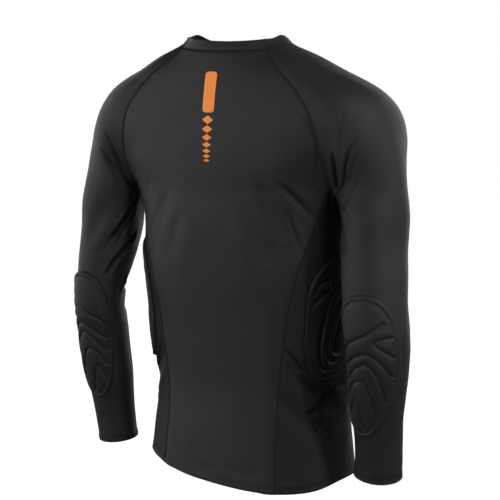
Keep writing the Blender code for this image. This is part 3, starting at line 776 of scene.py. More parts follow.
# Foam pads: name, part, centre deg, half deg, shift deg, head's base z, head height, foot's top z,
# foot height, taper, and millimetres along the surface for one degree.
PADS = {
    "elbow_pad_left": ("left", 85.5, 67.5, 10.0, -0.452, 0.078, -0.468, 0.106, 0.32, 0.72),
    "elbow_pad_right": ("right", 85.5, 67.5, 10.0, -0.438, 0.078, -0.454, 0.106, 0.32, 0.81),
    "side_pad_left": ("body", 2.0, 24.0, 13.0, -0.385, 0.080, -0.425, 0.078, 0.50, 2.6),
    "side_pad_right": ("body", 178.0, 24.0, -13.0, -0.385, 0.080, -0.425, 0.078, 0.50, 2.6),
}
HEAD_ROUNDNESS = 2.2
FOOT_ROUNDNESS = 2.6
PAD_COLUMNS = 104
PAD_ROWS = 180
UNDERSIDE_STEP = 4       # the plain underside has one face for this many, each way
PAD_SEAT = 0.0002
PAD_HEIGHT = 0.0040
PAD_LIP = 0.0005         # height at the very edge
PAD_SHOULDER = 0.0045    # the pad rises to its full height within this
RIM_PLACE, RIM_WIDTH, RIM_HEIGHT = 0.0038, 0.0024, 0.0008
CHANNEL_PLACE, CHANNEL_WIDTH, CHANNEL_DEPTH = 0.0082, 0.0018, 0.0007
SIDE_SHARE = 0.3         # how much of the rim and its channel is left down the pad's sides
SIDES_TO, ENDS_FROM = 0.26, 0.46   # where the sides end and the ends start, from half way down
CROWDING = 0.86          # how strongly a pad's columns crowd towards its sides
GROOVE_STEPS = 8         # steps of a flex groove's path between two places
GROOVES = {"elbow": (0.0017, 0.0024), "side": (0.0023, 0.0029)}   # width and depth
CROWN_WIDTH, CROWN_HEIGHT = 0.0050, 0.0008
# An elbow pad thins towards its inner end: from this share of its half width, by this share.
THIN_FROM, THIN_BY = 0.55, 0.60
COVER_INNER, COVER_OUTER = 0.006, 0.013   # folds fade out this near a pad

# Flex grooves as places on the pad: x from -1 to 1 across it towards the wearer's back, and y from 0
# at its top to 1 at its foot.
ELBOW_GROOVES = [
    [(-0.54, 0.14), (-0.16, 0.23), (0.13, 0.265), (0.50, 0.295), (0.88, 0.34)],
    [(-0.80, 0.175), (-0.47, 0.25), (-0.30, 0.285), (-0.42, 0.315), (-0.78, 0.35)],
    [(0.92, 0.52), (0.60, 0.45), (0.27, 0.39), (-0.08, 0.36), (-0.36, 0.40), (-0.76, 0.52)],
    [(0.90, 0.68), (0.61, 0.58), (0.32, 0.48), (0.00, 0.43), (-0.22, 0.465), (-0.46, 0.56), (-0.76, 0.78)],
    [(0.84, 0.82), (0.62, 0.72), (0.42, 0.61), (0.14, 0.56), (-0.08, 0.595), (-0.28, 0.70), (-0.58, 0.89)],
    [(0.62, 0.90), (0.44, 0.78), (0.28, 0.71), (0.12, 0.79), (-0.08, 0.93)],
]
SIDE_GROOVES = [
    [(0.72, 0.05), (0.34, 0.09), (-0.10, 0.12), (-0.60, 0.12)],
    [(0.92, 0.10), (0.62, 0.16), (0.52, 0.22), (0.64, 0.27), (0.90, 0.33)],
    [(0.06, 0.17), (0.38, 0.22), (0.57, 0.36), (0.64, 0.52), (0.66, 0.67), (0.57, 0.80), (0.34, 0.895),
     (0.04, 0.91), (-0.28, 0.85), (-0.52, 0.71), (-0.64, 0.53), (-0.62, 0.37), (-0.48, 0.26)],
    [(0.20, 0.30), (0.42, 0.43), (0.50, 0.54), (0.50, 0.66), (0.42, 0.77), (0.22, 0.84), (0.00, 0.85),
     (-0.22, 0.78), (-0.40, 0.65), (-0.46, 0.52), (-0.40, 0.40), (-0.24, 0.33)],
    [(0.18, 0.44), (0.33, 0.55), (0.34, 0.66), (0.25, 0.76), (0.06, 0.785), (-0.12, 0.73), (-0.25, 0.62),
     (-0.25, 0.51)],
]


def pad_place(row, share, across):
    """Angle and height of a place on a pad."""
    _, centre, half_deg, shift, shoulder, head, hip, foot, taper, _ = row
    top = shoulder + head * (1 - abs(across) ** HEAD_ROUNDNESS) ** (1 / HEAD_ROUNDNESS)
    bottom = hip - foot * (1 - abs(across) ** FOOT_ROUNDNESS) ** (1 / FOOT_ROUNDNESS)
    height = mix(top, bottom, share)
    sunk = max(0.0, (hip - height) / foot)
    return centre + shift * sunk + half_deg * across * (1 - taper * sunk), height


def pad_flat(row, share, across):
    """The same place on the flat, in metres from the pad's centre line."""
    degrees, height = pad_place(row, share, across)
    return (degrees - row[1]) * row[-1] * MM, height


def pad_samples(guide, columns=14, rows=26):
    """Places all over the pads, to keep folds out from under them."""
    places = []
    for row in PADS.values():
        for r in range(rows + 1):
            for c in range(columns + 1):
                degrees, height = pad_place(row, r / rows, 2 * c / columns - 1)
                places.append(guide.find(row[0], height, degrees)[0])
    return places


def path_distance(paths, places):
    """Distance from each flat place to the nearest of the paths."""
    best = np.full(len(places), np.inf)
    for path in paths:
        offsets, _ = along_path(path, places)
        best = np.minimum(best, np.linalg.norm(offsets, axis=1))
    return best


def make_pad(name, surface, material):
    """A moulded pad: rim, channel and flex grooves above, and a plain underside on the cloth."""
    row = PADS[name]
    back = -1 if row[0] == "body" and row[1] > 90 else 1
    crowding = math.pi / 2 * CROWDING
    acrosses = np.sin(np.linspace(-1, 1, PAD_COLUMNS + 1) * crowding) / math.sin(crowding)
    shares = np.linspace(0, 1, PAD_ROWS + 1)
    flat, base, up = [], [], []
    for share in shares:
        for across in acrosses:
            degrees, height = pad_place(row, share, across)
            point, normal = surface.find(row[0], height, degrees)
            flat.append(pad_flat(row, share, across))
            base.append(tuple(point))
            up.append(tuple(normal))
    flat, base, up = np.array(flat), np.array(base), np.array(up)
    width = PAD_COLUMNS + 1
    ids = np.arange(len(flat)).reshape(PAD_ROWS + 1, width)
    rim = grid_rim(ids)
    edge = path_distance([np.vstack([flat[rim], flat[rim[:1]]])], flat)
    kind = name.split("_")[0]
    table = ELBOW_GROOVES if kind == "elbow" else SIDE_GROOVES
    groove_width, groove_depth = GROOVES[kind]
    paths = [smooth_path([pad_flat(row, y, x * back) for x, y in groove], GROOVE_STEPS)
             for groove in table]
    groove = path_distance(paths, flat)
    inside = np.clip((edge - CHANNEL_PLACE) / CHANNEL_WIDTH, 0, 1)
    rise = np.clip(edge / PAD_SHOULDER, 0, 1)
    height = PAD_LIP + (PAD_HEIGHT - PAD_LIP) * np.sqrt(1 - (1 - rise) ** 2)
    from_middle = np.abs(np.repeat(shares, width) - 0.5)
    ends = mix(SIDE_SHARE, 1.0, smooth_step((from_middle - SIDES_TO) / (ENDS_FROM - SIDES_TO)))
    height += RIM_HEIGHT * ends * bell(edge - RIM_PLACE, RIM_WIDTH)
    height -= CHANNEL_DEPTH * ends * bell(edge - CHANNEL_PLACE, CHANNEL_WIDTH)
    height -= groove_depth * bell(groove, groove_width) * inside
    crown = np.minimum(groove, np.maximum(edge - CHANNEL_PLACE, 0))
    height += CROWN_HEIGHT * (1 - bell(crown, CROWN_WIDTH))
    if kind == "elbow":
        inward = (np.tile(acrosses, PAD_ROWS + 1) - THIN_FROM) / (1 - THIN_FROM)
        height *= 1 - THIN_BY * smooth_step(inward)
    outer = base + up * (PAD_SEAT + height)[:, None]
    step = UNDERSIDE_STEP
    plain = ids[::step, ::step]
    under = base[plain.ravel()] + up[plain.ravel()] * PAD_SEAT
    lower = (np.arange(plain.size) + len(outer)).reshape(plain.shape)
    faces = grid_faces(ids) + grid_faces(lower, flip=True)
    below = grid_rim(lower)
    for k, start in enumerate(range(0, len(rim), step)):
        upper_run = [rim[(start + i) % len(rim)] for i in range(step + 1)]
        faces.append(tuple(upper_run[::-1]) + (below[k], below[(k + 1) % len(below)]))
    piece = new_piece(name + "_foam", np.vstack([outer, under]), faces, material)
    flats = np.vstack([flat, flat[plain.ravel()]])
    loops = np.zeros(len(piece.data.loops), dtype=np.int64)
    piece.data.loops.foreach_get("vertex_index", loops)
    keep_flats(piece, flats[loops])
    face_out(piece)
    return piece


def keep_flats(piece, flats):
    """Each face corner's place on the flat cloth, as the piece's UV map."""
    piece.data.uv_layers.new(name="flat").data.foreach_set("uv", flats.ravel())


def face_out(piece):
    """Turn the faces of a closed piece outwards."""
    bm = bmesh.new()
    bm.from_mesh(piece.data)
    bmesh.ops.recalc_face_normals(bm, faces=bm.faces)
    bm.to_mesh(piece.data)
    bm.free()


def new_piece(name, corners, faces, material):
    """A smooth-shaded piece at the origin."""
    mesh = bpy.data.meshes.new(name)
    mesh.from_pydata(np.asarray(corners).tolist(), [], [[int(i) for i in face] for face in faces])
    mesh.materials.append(material)
    mesh.polygons.foreach_set("use_smooth", [True] * len(mesh.polygons))
    return in_scene(name, mesh)


def cut_panel(form, name, material):
    """One panel as a thin closed shell, with its edges rounded over and the hem's second layer."""
    chosen = form.numbers == PANELS.index(name)
    used, local = np.unique(form.quads[chosen], return_inverse=True)
    local = local.reshape(-1, 4)
    flats = form.flats[chosen]
    outer, normals, hem = form.corners[used], form.normals[used], form.hem[used]
    if name == "collar":
        wall = np.full(len(used), BAND_WALL)
        rise = np.zeros(len(used))
    else:
        second = smooth_step((HEM_HEIGHT - hem) / HEM_STEP + 0.5)
        rise = HEM_RISE * second
        wall = CLOTH_WALL + 2 * HEM_RISE * second
    outer = outer + normals * rise[:, None]
    inner = outer - normals * wall[:, None]

    count = len(used)
    heads, tails = local.ravel(), np.roll(local, -1, axis=1).ravel()
    keys = set((heads * count + tails).tolist())
    lone = np.array([int(b) * count + int(a) not in keys for a, b in zip(heads, tails)])
    sides = np.where(lone)[0]
    inward = np.zeros((count, 3))
    centres = outer[local].mean(axis=1)
    for k in sides:
        a, b = heads[k], tails[k]
        along = outer[b] - outer[a]
        along /= np.linalg.norm(along)
        into = centres[k // 4] - outer[a]
        into -= along * (into @ along)
        into /= np.linalg.norm(into)
        inward[a] += into
        inward[b] += into
    rim = np.unique(np.concatenate([heads[sides], tails[sides]]))
    inward[rim] /= np.linalg.norm(inward[rim], axis=1)[:, None]
    roll = inward[rim] * (EDGE_ROLL * wall[rim])[:, None]
    outer[rim] += roll
    inner[rim] += roll
    middle = (outer[rim] + inner[rim]) / 2 - roll - inward[rim] * SEAM_LAP
    place = {int(corner): 2 * count + k for k, corner in enumerate(rim)}

    faces = local.tolist() + (local[:, ::-1] + count).tolist()
    corner_flats = [flats.reshape(-1, 2), flats[:, ::-1].reshape(-1, 2)]
    extra = []
    for k in sides:
        a, b = int(heads[k]), int(tails[k])
        flat_a, flat_b = flats[k // 4, k % 4], flats[k // 4, (k + 1) % 4]
        faces.append([b, a, place[a], place[b]])
        faces.append([place[b], place[a], a + count, b + count])
        extra += [flat_b, flat_a, flat_a, flat_b] * 2
    piece = new_piece(name + "_cloth", np.vstack([outer, inner, middle]), faces, material)
    keep_flats(piece, np.vstack(corner_flats + [np.array(extra)]))
    # Painted shade of the creases and the hem's step, carried to the material as an attribute; none on the
    # collar or the cloth's inner side.
    painted_shade = form.painted_shade[used] * (name != "collar")
    shade = piece.data.attributes.new("painted_shade", "FLOAT", "POINT")
    shade.data.foreach_set("value", np.concatenate([painted_shade, painted_shade * 0, painted_shade[rim]]))
    return piece


def chains(edges):
    """The edges sorted into unbroken runs of corner numbers."""
    touching = {}
    for a, b in edges.tolist():
        touching.setdefault(a, set()).add(b)
        touching.setdefault(b, set()).add(a)
    runs = []
    while touching:
        ends = [corner for corner, others in touching.items() if len(others) == 1]
        here = min(ends) if ends else min(touching)
        run = [here]
        while touching.get(here):
            after = min(touching[here])
            touching[here].discard(after)
            touching[after].discard(here)
            if not touching[here]:
                del touching[here]
            run.append(after)
            here = after
        touching.pop(here, None)
        runs.append(run)
    return runs


def row_beside(form, run, side, lift):
    """A line on the cloth beside a run of corners, with the cloth's normals along it."""
    corners, normals = form.corners[run], form.normals[run]
    closed = run[0] == run[-1]
    if closed:
        corners, normals = corners[:-1], normals[:-1]
        along = np.roll(corners, -1, axis=0) - np.roll(corners, 1, axis=0)
    else:
        along = np.gradient(corners, axis=0)
    along /= np.linalg.norm(along, axis=1)[:, None]
    beside = np.cross(normals, along)
    places, ups = [], []
    for place in corners + beside * side:
        point, normal = form.surface.nearest("all", Vector(place))
        places.append(point + normal * lift)
        ups.append(normal)
    if closed:
        places.append(places[0])
        ups.append(ups[0])
    return places, ups


THREAD = 0.00022         # radius
SEAM_ROW = 0.0020        # a flat seam's rows of stitches either side of the join
ROW_LIFT, CROSS_LIFT = 0.0001, 0.0002   # how far the ends of the stitches stand off the cloth
ROW_STITCH = {"pitch": 0.0026, "length": 0.0021, "bow": 0.0006}
CROSS_STITCH = {"pitch": 0.0013, "length": 0.0040, "bow": 0.0010, "turn": 90, "lean": 18}


def stitch_row_nodes():
    """Geometry nodes that lay threads along a line, one at every pitch, standing on its normals."""
    tree = bpy.data.node_groups.new("stitch_row", "GeometryNodeTree")
    sockets = tree.interface
    sockets.new_socket("Line", in_out="INPUT", socket_type="NodeSocketGeometry")
    for name in ("Pitch", "Stitch length", "Thread radius", "Bow", "Turn", "Lean"):
        sockets.new_socket(name, in_out="INPUT", socket_type="NodeSocketFloat")
    sockets.new_socket("Thread", in_out="INPUT", socket_type="NodeSocketMaterial")
    sockets.new_socket("Stitches", in_out="OUTPUT", socket_type="NodeSocketGeometry")
    given = tree.nodes.new("NodeGroupInput").outputs

    def add(kind, inputs=(), **settings):
        return add_node(tree, kind, inputs, **settings).outputs[0]

    def maths(operation, *values):
        return add("ShaderNodeMath", dict(enumerate(values)), operation=operation)

    # one thread, bowed up in its middle
    half = maths("MULTIPLY", given["Stitch length"], 0.5)
    bow = add("GeometryNodeCurveQuadraticBezier", {
        "Resolution": 3,
        "Start": add("ShaderNodeCombineXYZ", {"X": maths("MULTIPLY", half, -1.0)}),
        "Middle": add("ShaderNodeCombineXYZ", {"Z": given["Bow"]}),
        "End": add("ShaderNodeCombineXYZ", {"X": half})})
    section = add("GeometryNodeCurvePrimitiveCircle", {"Resolution": 3, "Radius": given["Thread radius"]})
    thread = add("GeometryNodeCurveToMesh", {"Curve": bow, "Profile Curve": section, "Fill Caps": True})

    # its turn: up from the cloth, along the line, then turned and leant to either side by turns
    up = add("GeometryNodeInputNamedAttribute", {"Name": "up"}, data_type="FLOAT_VECTOR")
    upright = add("FunctionNodeAlignRotationToVector", {"Vector": up}, axis="Z")
    aligned = add("FunctionNodeAlignRotationToVector",
                  {"Rotation": upright, "Vector": add("GeometryNodeInputTangent")}, axis="X", pivot_axis="Z")
    odd = maths("MODULO", add("GeometryNodeInputIndex"), 2.0)
    lean = maths("MULTIPLY_ADD", maths("MULTIPLY_ADD", odd, 2.0, -1.0), given["Lean"], given["Turn"])
    turned = add("FunctionNodeAxisAngleToRotation", {"Axis": (0, 0, 1), "Angle": lean})
    placed = add("FunctionNodeRotateRotation", {"Rotation": aligned, "Rotate By": turned},
                 rotation_space="LOCAL")

    # a thread at every pitch
    line = add("GeometryNodeMeshToCurve", {"Mesh": given["Line"]})
    evenly = add("GeometryNodeResampleCurve", {"Curve": line, "Length": given["Pitch"]}, mode="LENGTH")
    laid = add("GeometryNodeInstanceOnPoints", {"Points": evenly, "Instance": thread, "Rotation": placed})
    real = add("GeometryNodeRealizeInstances", {"Geometry": laid})
    dressed = add("GeometryNodeSetMaterial", {"Geometry": real, "Material": given["Thread"]})
    tree.links.new(dressed, tree.nodes.new("NodeGroupOutput").inputs["Stitches"])
    return tree


def sew(name, lines, tree, thread, pitch, length, bow, turn=0, lean=0):
    """A plain mesh of stitches along the lines. turn and lean are in degrees."""
    corners, edges, ups = [], [], []
    for places, normals in lines:
        first = len(corners)
        corners += [tuple(p) for p in places]
        ups += [tuple(n) for n in normals]
        edges += [(first + k, first + k + 1) for k in range(len(places) - 1)]
    mesh = bpy.data.meshes.new(name)
    mesh.from_pydata(corners, edges, [])
    mesh.attributes.new("up", "FLOAT_VECTOR", "POINT").data.foreach_set("vector", np.ravel(ups))
    row = in_scene(name + "_line", mesh)
    layer = row.modifiers.new("stitches", "NODES")
    layer.node_group = tree
    values = {"Pitch": pitch, "Stitch length": length, "Thread radius": THREAD, "Bow": bow,
              "Turn": math.radians(turn), "Lean": math.radians(lean), "Thread": thread}
    for socket in tree.interface.items_tree:
        if socket.in_out == "INPUT" and socket.name in values:
            layer[socket.identifier] = values[socket.name]
    made = shaped_mesh(row)
    made.name = name
    if not made.materials:
        made.materials.append(thread)
    return in_scene(name, made)


# Generic orange motif down the middle of the upper back: a long bar, then lozenges that get smaller.
PRINT_PLACE = -0.003     # the motif's middle line
PRINT_HALF_WIDTH = 0.0105
PRINT_FILM = 0.00012
PRINT_LIFT = 0.00012
BAR = (-0.044, -0.104)    # its top and bottom
BAR_CORNER = PRINT_HALF_WIDTH * 0.45
LOZENGES = [(-0.108, 0.0130), (-0.1225, 0.0115), (-0.1355, 0.0100), (-0.1470, 0.0085), (-0.1570, 0.0070),
            (-0.1655, 0.0055), (-0.1725, 0.0040)]   # the top and height of each
LOZENGE_LEAST = 0.45      # half width that one of no height would have, as a share of the first one's
BAR_ROWS, LOZENGE_ROWS, FILM_COLUMNS = 48, 12, 8
POINT_WIDTH = 0.0001      # a lozenge's points are this blunt
BEHIND = 0.3              # where the rays that lay the motif on the back start


def film_motif(top, bottom, width_at, rows):
    """Rows of places across a motif: (x, z) pairs."""
    grid = []
    for r in range(rows + 1):
        share = r / rows
        half = max(width_at(share), POINT_WIDTH)
        grid.append([(half * (2 * c / FILM_COLUMNS - 1), mix(top, bottom, share))
                     for c in range(FILM_COLUMNS + 1)])
    return grid


def make_print(form, material):
    """The motif as a thin film that follows the cloth."""
    def bar_width(share):
        from_end = min(share, 1 - share) * (BAR[0] - BAR[1])
        if from_end >= BAR_CORNER:
            return PRINT_HALF_WIDTH
        cut = math.sqrt(max(BAR_CORNER ** 2 - (BAR_CORNER - from_end) ** 2, 0))
        return PRINT_HALF_WIDTH - BAR_CORNER + cut

    grids = [film_motif(*BAR, bar_width, BAR_ROWS)]
    for top, height in LOZENGES:
        half = PRINT_HALF_WIDTH * mix(LOZENGE_LEAST, 1, height / LOZENGES[0][1])
        grids.append(film_motif(top, top - height, lambda share, half=half: half * (1 - abs(2 * share - 1)),
                                LOZENGE_ROWS))
    corners, faces = [], []
    tree = form.surface.trees["body"]
    for grid in grids:
        ids = np.arange(len(grid) * len(grid[0])).reshape(len(grid), -1) + len(corners)
        found = []
        for x, z in sum(grid, []):
            point, _, index, _ = tree.ray_cast(Vector((PRINT_PLACE + x, BEHIND, z)), Vector((0, -1, 0)))
            found.append((point, form.surface.normal_at("body", index, point)))
        for lift in (PRINT_LIFT + PRINT_FILM, PRINT_LIFT):
            corners += [tuple(point + normal * lift) for point, normal in found]
        faces += grid_faces(ids) + grid_faces(ids + ids.size, flip=True)
        rim = grid_rim(ids)
        faces += [(b, a, a + ids.size, b + ids.size) for a, b in zip(rim, np.roll(rim, -1))]
    piece = new_piece("back_motif_film", corners, faces, material)
    face_out(piece)
    return piece


# The side panels' painted shade from the arms: a black strip on the flat, with (how far down, half width) at
# its head and foot.
STRIP_HEAD = (-0.28, 0.062)
STRIP_FOOT = (-0.42, 0.018)
STRIP_EDGE = 0.005
STRIP_SHADE_BLACK = (0.0034, 0.0034, 0.0036)
STRIP_LEFT_SHADE_BLACK = (0.0100, 0.0100, 0.0103)   # the left one's painted shade is a little lighter


# Knits. A plain knit's height on the flat: how far its stitches slant, and their height beside a wale's.
KNIT_SLANT, KNIT_LADDER = 1.1, 0.22
KNIT_BUMP, KNIT_STRENGTH = 0.00012, 0.55
FUZZ_SCALE, FUZZ_SHARE = 320.0, 0.5        # the yarn's fuzz, beside the stitches
TONE_SCALE, WEAR_SCALE = 9.0, 26.0         # blotches to a metre: in the colour and in the roughness
WEAR_SMOOTHER, WEAR_ROUGHER = 0.05, 0.06
SHEEN_ROUGHNESS = 0.22
PLAIN_STRENGTH = 0.4


class Finish:
    """A Principled material, with short ways to add and link nodes."""

    def __init__(self, name, colour, roughness, sheen=0.0, sheen_roughness=0.4, specular=0.5):
        self.material = bpy.data.materials.new(name)
        self.material.use_nodes = True
        self.tree = self.material.node_tree
        self.shader = self.tree.nodes["Principled BSDF"]
        for socket, value in {"Base Color": (*colour, 1), "Roughness": roughness, "Sheen Weight": sheen,
                              "Sheen Roughness": sheen_roughness, "Specular IOR Level": specular}.items():
            self.shader.inputs[socket].default_value = value

    def add(self, kind, inputs=(), **settings):
        return add_node(self.tree, kind, inputs, **settings)

    def drive(self, socket, source):
        """Link a source to one of the shader's own sockets."""
        self.tree.links.new(source, self.shader.inputs[socket])

    def maths(self, operation, *values):
        return self.add("ShaderNodeMath", dict(enumerate(values)), operation=operation).outputs[0]

    def span(self, value, low, high, to_low=0.0, to_high=1.0, **settings):
        """The value moved from one range to another, and kept in it."""
        return self.add("ShaderNodeMapRange", {"Value": value, "From Min": low, "From Max": high,
                                               "To Min": to_low, "To Max": to_high}, **settings).outputs[0]

    def blend(self, share, first, second):
        return self.add("ShaderNodeMix", {"Factor": share, "A": first, "B": second},
                        data_type="RGBA").outputs["Result"]

    def blotches(self, scale):
        where = self.add("ShaderNodeTexCoord")
        return self.add("ShaderNodeTexNoise", {"Vector": where.outputs["Object"], "Scale": scale,
                                               "Detail": 2.0}).outputs["Fac"]

    def flat_place(self):
        """How far across and how far down the flat cloth a place is."""
        flat = self.add("ShaderNodeUVMap", uv_map="flat")
        return self.add("ShaderNodeSeparateXYZ", {"Vector": flat.outputs[0]}).outputs

    def vary(self, dark, light, scale):
        """Base colour that drifts between two colours."""
        base = self.blend(self.blotches(scale), (*dark, 1), (*light, 1))
        self.drive("Base Color", base)
        return base

    def bump(self, height, distance, strength):
        made = self.add("ShaderNodeBump", {"Height": height, "Distance": distance, "Strength": strength})
        self.drive("Normal", made.outputs["Normal"])

    def paint_crease_shade(self, base):
        """The base colour with painted shade: darker at the bottom of the creases and along the turned hem's
        edge.
        """
        painted_shade = self.add("ShaderNodeAttribute", attribute_name="painted_shade")
        share = self.maths("MULTIPLY", painted_shade.outputs["Fac"], CREASE_SHADE_DARK)
        self.drive("Base Color", self.blend(share, base, (*CREASE_SHADE_BLACK, 1)))

    def stitches(self, wale, course):
        """Height of a plain knit on the cloth's own flat places: columns of small nested Vs."""
        flat = self.flat_place()
        column = self.maths("DIVIDE", flat["X"], wale)
        row = self.maths("DIVIDE", flat["Y"], course)
        side = self.maths("PINGPONG", column, 0.5)
        slant = self.maths("MULTIPLY_ADD", side, KNIT_SLANT, row)
        ladder = self.maths("SINE", self.maths("MULTIPLY", slant, 2 * math.pi))
        trough = self.maths("SINE", self.maths("MULTIPLY", side, math.pi))
        return self.maths("MULTIPLY_ADD", ladder, KNIT_LADDER, trough)

    def paint_arm_shade(self, base, black):
        """Painted shade from the arm: a deep black strip down the panel's middle, wide at the armpit and
        narrow at the hem.
        """
        flat = self.flat_place()
        half = self.span(flat["Y"], STRIP_FOOT[0], STRIP_HEAD[0], STRIP_FOOT[1], STRIP_HEAD[1])
        inside = self.maths("SUBTRACT", half, self.maths("ABSOLUTE", flat["X"]))
        share = self.span(inside, -STRIP_EDGE, STRIP_EDGE, interpolation_type="SMOOTHSTEP")
        return self.blend(share, base, (*black, 1))


def knit(name, dark, light, roughness, wale, course, sheen, specular, arm_shade_strip=None):
    """A knit cloth. wale and course are the width and height of a stitch."""
    finish = Finish(name, dark, roughness, sheen, SHEEN_ROUGHNESS, specular)
    base = finish.vary(dark, light, TONE_SCALE)
    # Painted shade from the arm, as a black strip down a side panel.
    if arm_shade_strip:
        base = finish.paint_arm_shade(base, arm_shade_strip)
    # Painted shade in the creases and along the hem's step.
    finish.paint_crease_shade(base)
    fuzz = finish.maths("MULTIPLY", finish.blotches(FUZZ_SCALE), FUZZ_SHARE)
    finish.bump(finish.maths("ADD", finish.stitches(wale, course), fuzz), KNIT_BUMP, KNIT_STRENGTH)
    finish.drive("Roughness", finish.span(finish.blotches(WEAR_SCALE), 0.0, 1.0,
                                          roughness - WEAR_SMOOTHER, roughness + WEAR_ROUGHER))
    return finish.material


def plain(name, dark, light, roughness, scale, bump_scale, distance, specular):
    """Thread or film: a colour that drifts at one scale, and a bump at another."""
    finish = Finish(name, dark, roughness, specular=specular)
    finish.vary(dark, light, scale)
    finish.bump(finish.blotches(bump_scale), distance, PLAIN_STRENGTH)
    return finish.material


def stand(holder, place, aim):
    """Put a light or a camera at a place, facing the aim."""
    holder.location = place
    holder.rotation_euler = (aim - place).to_track_quat("-Z", "Y").to_euler()


def light(name, place, aim, size, watts):
    """A soft light that faces the aim and isn't seen itself."""
    lamp = bpy.data.lights.new(name, "AREA")
    lamp.shape = "RECTANGLE"
    lamp.size, lamp.size_y = size
    lamp.energy = watts
    holder = in_scene(name, lamp)
    stand(holder, place, aim)
    holder.visible_camera = False


# The camera stands as the photograph's did, behind the wearer's right side.
VIEW_TURN = math.radians(215.3)
VIEW_DISTANCE = 2.33
VIEW_HEIGHT = 0.016
AIM_HEIGHT = -0.3238
AIM_SIDE = -0.0044
VIEW_SCALE = 639.0       # pixels to a metre at the aim, in a frame 500 pixels wide
FRAME_PIXELS = 500
SENSOR = 36.0


def place_camera():
    """The camera. Gives the directions to its right and towards it, level, and its aim."""
    right = Vector((math.cos(VIEW_TURN), math.sin(VIEW_TURN), 0))
    away = Vector((math.sin(VIEW_TURN), -math.cos(VIEW_TURN), 0))
    aim = right * AIM_SIDE + Vector((0, 0, AIM_HEIGHT))
    place = right * AIM_SIDE + away * VIEW_DISTANCE + Vector((0, 0, VIEW_HEIGHT))
    lens = bpy.data.cameras.new("camera")
    lens.sensor_width = SENSOR
    lens.lens = SENSOR * VIEW_SCALE * (aim - place).length / FRAME_PIXELS
    holder = in_scene("camera", lens)
    stand(holder, place, aim)
    bpy.context.scene.camera = holder
    return right, away, aim


def white_to_eye(tree, socket, light_share, seen_share):
    """One strength for what lights the shirt, and another for what is seen past it."""
    path = add_node(tree, "ShaderNodeLightPath")
    share = add_node(tree, "ShaderNodeMapRange", {"Value": path.outputs["Is Camera Ray"],
                                                  "To Min": light_share, "To Max": seen_share})
    tree.links.new(share.outputs[0], socket)


def dress_studio(right, away, aim):
    """White room: a wide pale floor, an even sky, and large soft lights."""
    bpy.context.scene.view_settings.view_transform = "Standard"
    world = bpy.data.worlds.new("studio")
    bpy.context.scene.world = world
    world.use_nodes = True
    sky = world.node_tree.nodes["Background"].inputs
    sky["Color"].default_value = (1, 1, 1, 1)
    white_to_eye(world.node_tree, sky["Strength"], SKY_LIGHT, 1.0)
    bm = bmesh.new()
    bmesh.ops.create_circle(bm, cap_ends=True, segments=96, radius=FLOOR_RADIUS)
    bmesh.ops.translate(bm, verts=bm.verts, vec=(0, 0, FLOOR_HEIGHT))
    mesh = bpy.data.meshes.new("floor")
    bm.to_mesh(mesh)
    bm.free()
    finish = Finish("floor_white", FLOOR_DARK, roughness=0.9, specular=0.0)
    finish.vary(FLOOR_DARK, FLOOR_LIGHT, scale=0.6)
    finish.shader.inputs["Emission Color"].default_value = (1, 1, 1, 1)
    white_to_eye(finish.tree, finish.shader.inputs["Emission Strength"], 0.0, 1.0)
    mesh.materials.append(finish.material)
    floor = in_scene("floor", mesh)
    up = Vector((0, 0, 1))
    for name, turn, rise, size, watts in LIGHTS:
        turn, rise = math.radians(turn), math.radians(rise)
        level = (away * math.cos(turn) + right * math.sin(turn)) * math.cos(rise)
        light(name, aim + (level + up * math.sin(rise)) * LIGHT_DISTANCE, aim, size, watts)


FLOOR_HEIGHT = -0.98
FLOOR_RADIUS = 9.0
FLOOR_DARK, FLOOR_LIGHT = (0.16, 0.16, 0.16), (0.175, 0.175, 0.175)
SKY_LIGHT = 0.075
LIGHT_DISTANCE = 2.5
# Soft lights: degrees to the camera's right, degrees up, size, watts.
LIGHTS = [
    ("key", -52, 10, (2.0, 2.2), 27.8),
    ("left_edge", -108, 8, (1.3, 2.0), 21.0),
    ("right_high", 45, 45, (1.4, 1.4), 27.0),
    ("right_low", 32, 6, (1.2, 1.8), 19.5),
    ("right_edge", 95, 20, (1.3, 2.0), 16.5),
    ("front_left", -150, 4, (1.4, 2.0), 13.5),
    ("front_right", 150, 4, (1.4, 2.0), 19.5),
]

cage = make_cage()
form = Form(cage, fitted_points(cage))
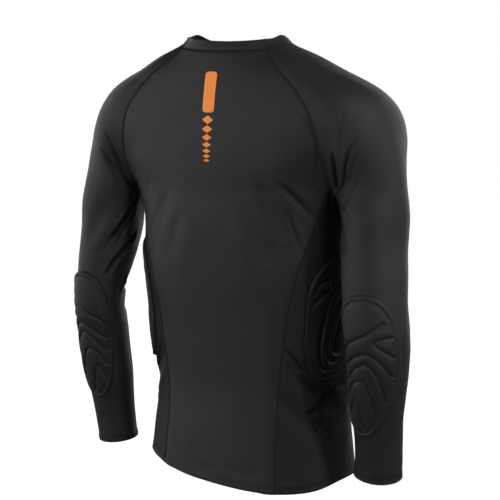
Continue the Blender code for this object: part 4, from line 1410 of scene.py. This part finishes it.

# Knits: dark and light tone, roughness, width and height of a stitch, sheen, specular, and the black of a
# strip of painted shade.
DARK, LIGHT = (0.0118, 0.0118, 0.0124), (0.0146, 0.0146, 0.0152)
SIDE_TONES = (0.0123, 0.0123, 0.0130), (0.0150, 0.0150, 0.0156)
# Painted light: the left side pad's tones are lighter than the elbow pads'.
LEFT_PAD_PAINTED_LIGHT_TONES = (0.0127, 0.0127, 0.0130), (0.0153, 0.0153, 0.0157)
KNITS = {
    "stretch": (DARK, LIGHT, 0.54, 0.0007, 0.0006, 0.04, 0.265),
    "band": (DARK, LIGHT, 0.54, 0.0011, 0.0006, 0.03, 0.265),
    "side_left_painted_shade": (*SIDE_TONES, 0.56, 0.0012, 0.0010, 0.07, 0.175, STRIP_LEFT_SHADE_BLACK),
    "side_right_painted_shade": (*SIDE_TONES, 0.56, 0.0012, 0.0010, 0.07, 0.175, STRIP_SHADE_BLACK),
    "pad": ((0.0108, 0.0108, 0.0114), (0.0134, 0.0134, 0.0140), 0.52, 0.0007, 0.0006, 0.03, 0.265),
    # The side pads are lit and shaded copies of one knit: painted light on the left one, painted shade on
    # the right one.
    "left_pad_painted_light": (*LEFT_PAD_PAINTED_LIGHT_TONES, 0.48, 0.0007, 0.0006, 0.07, 0.24),
    "right_pad_painted_shade": ((0.0038, 0.0038, 0.0040), (0.0050, 0.0050, 0.0052), 0.46, 0.0007, 0.0006, 0.055, 0.20),
}
# The pieces that aren't plain stretch knit.
PIECE_KNITS = {"side_panel_left": "side_left_painted_shade", "side_panel_right": "side_right_painted_shade", "collar": "band",
               "elbow_pad_left": "pad", "elbow_pad_right": "pad",
               "side_pad_left": "left_pad_painted_light", "side_pad_right": "right_pad_painted_shade"}

cloths = {kind: knit("black_%s_knit" % kind, *values) for kind, values in KNITS.items()}
thread = plain("black_thread", (0.014, 0.014, 0.014), (0.020, 0.020, 0.020), roughness=0.45,
               scale=60.0, bump_scale=2500.0, distance=0.00005, specular=0.33)
film = plain("orange_film", (0.95, 0.275, 0.040), (1.0, 0.305, 0.048), roughness=0.45,
             scale=20.0, bump_scale=900.0, distance=0.00003, specular=0.3)

made = {}
for name in PANELS:
    made[name] = cut_panel(form, name, cloths[PIECE_KNITS.get(name, "stretch")])
for name in PADS:
    made[name] = make_pad(name, form.surface, cloths[PIECE_KNITS[name]])
motif = make_print(form, film)

# Stitching: flat seams between the panels, and the hems.
seams = [run for a in range(len(PANELS)) for b in range(a + 1, len(PANELS))
         for run in chains(form.seam_edges[(form.seam_owners == (a, b)).all(axis=1)])]
hems = [run for name in PANELS if name != "collar"
        for run in chains(form.free_edges[form.free_owners == PANELS.index(name)])]
tree = stitch_row_nodes()
rails = [row_beside(form, run, side, ROW_LIFT) for run in seams for side in (-SEAM_ROW, SEAM_ROW)]
rungs = [row_beside(form, run, 0.0, CROSS_LIFT) for run in seams]
turned = [row_beside(form, run, side, HEM_RISE + ROW_LIFT) for run in hems for side in HEM_ROWS]
seam_rails = sew("seam_rail_threads", rails, tree, thread, **ROW_STITCH)
seam_rungs = sew("seam_cross_threads", rungs, tree, thread, **CROSS_STITCH)
hem_rows = sew("hem_threads", turned, tree, thread, **ROW_STITCH)

for name, piece in made.items():
    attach(piece, "root")
    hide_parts(name)
for piece, slot in ((motif, "back"), (seam_rails, "back"), (seam_rungs, "back"), (hem_rows, "back")):
    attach(piece, "root")

right, away, aim = place_camera()
dress_studio(right, away, aim)

bpy.context.view_layer.update()
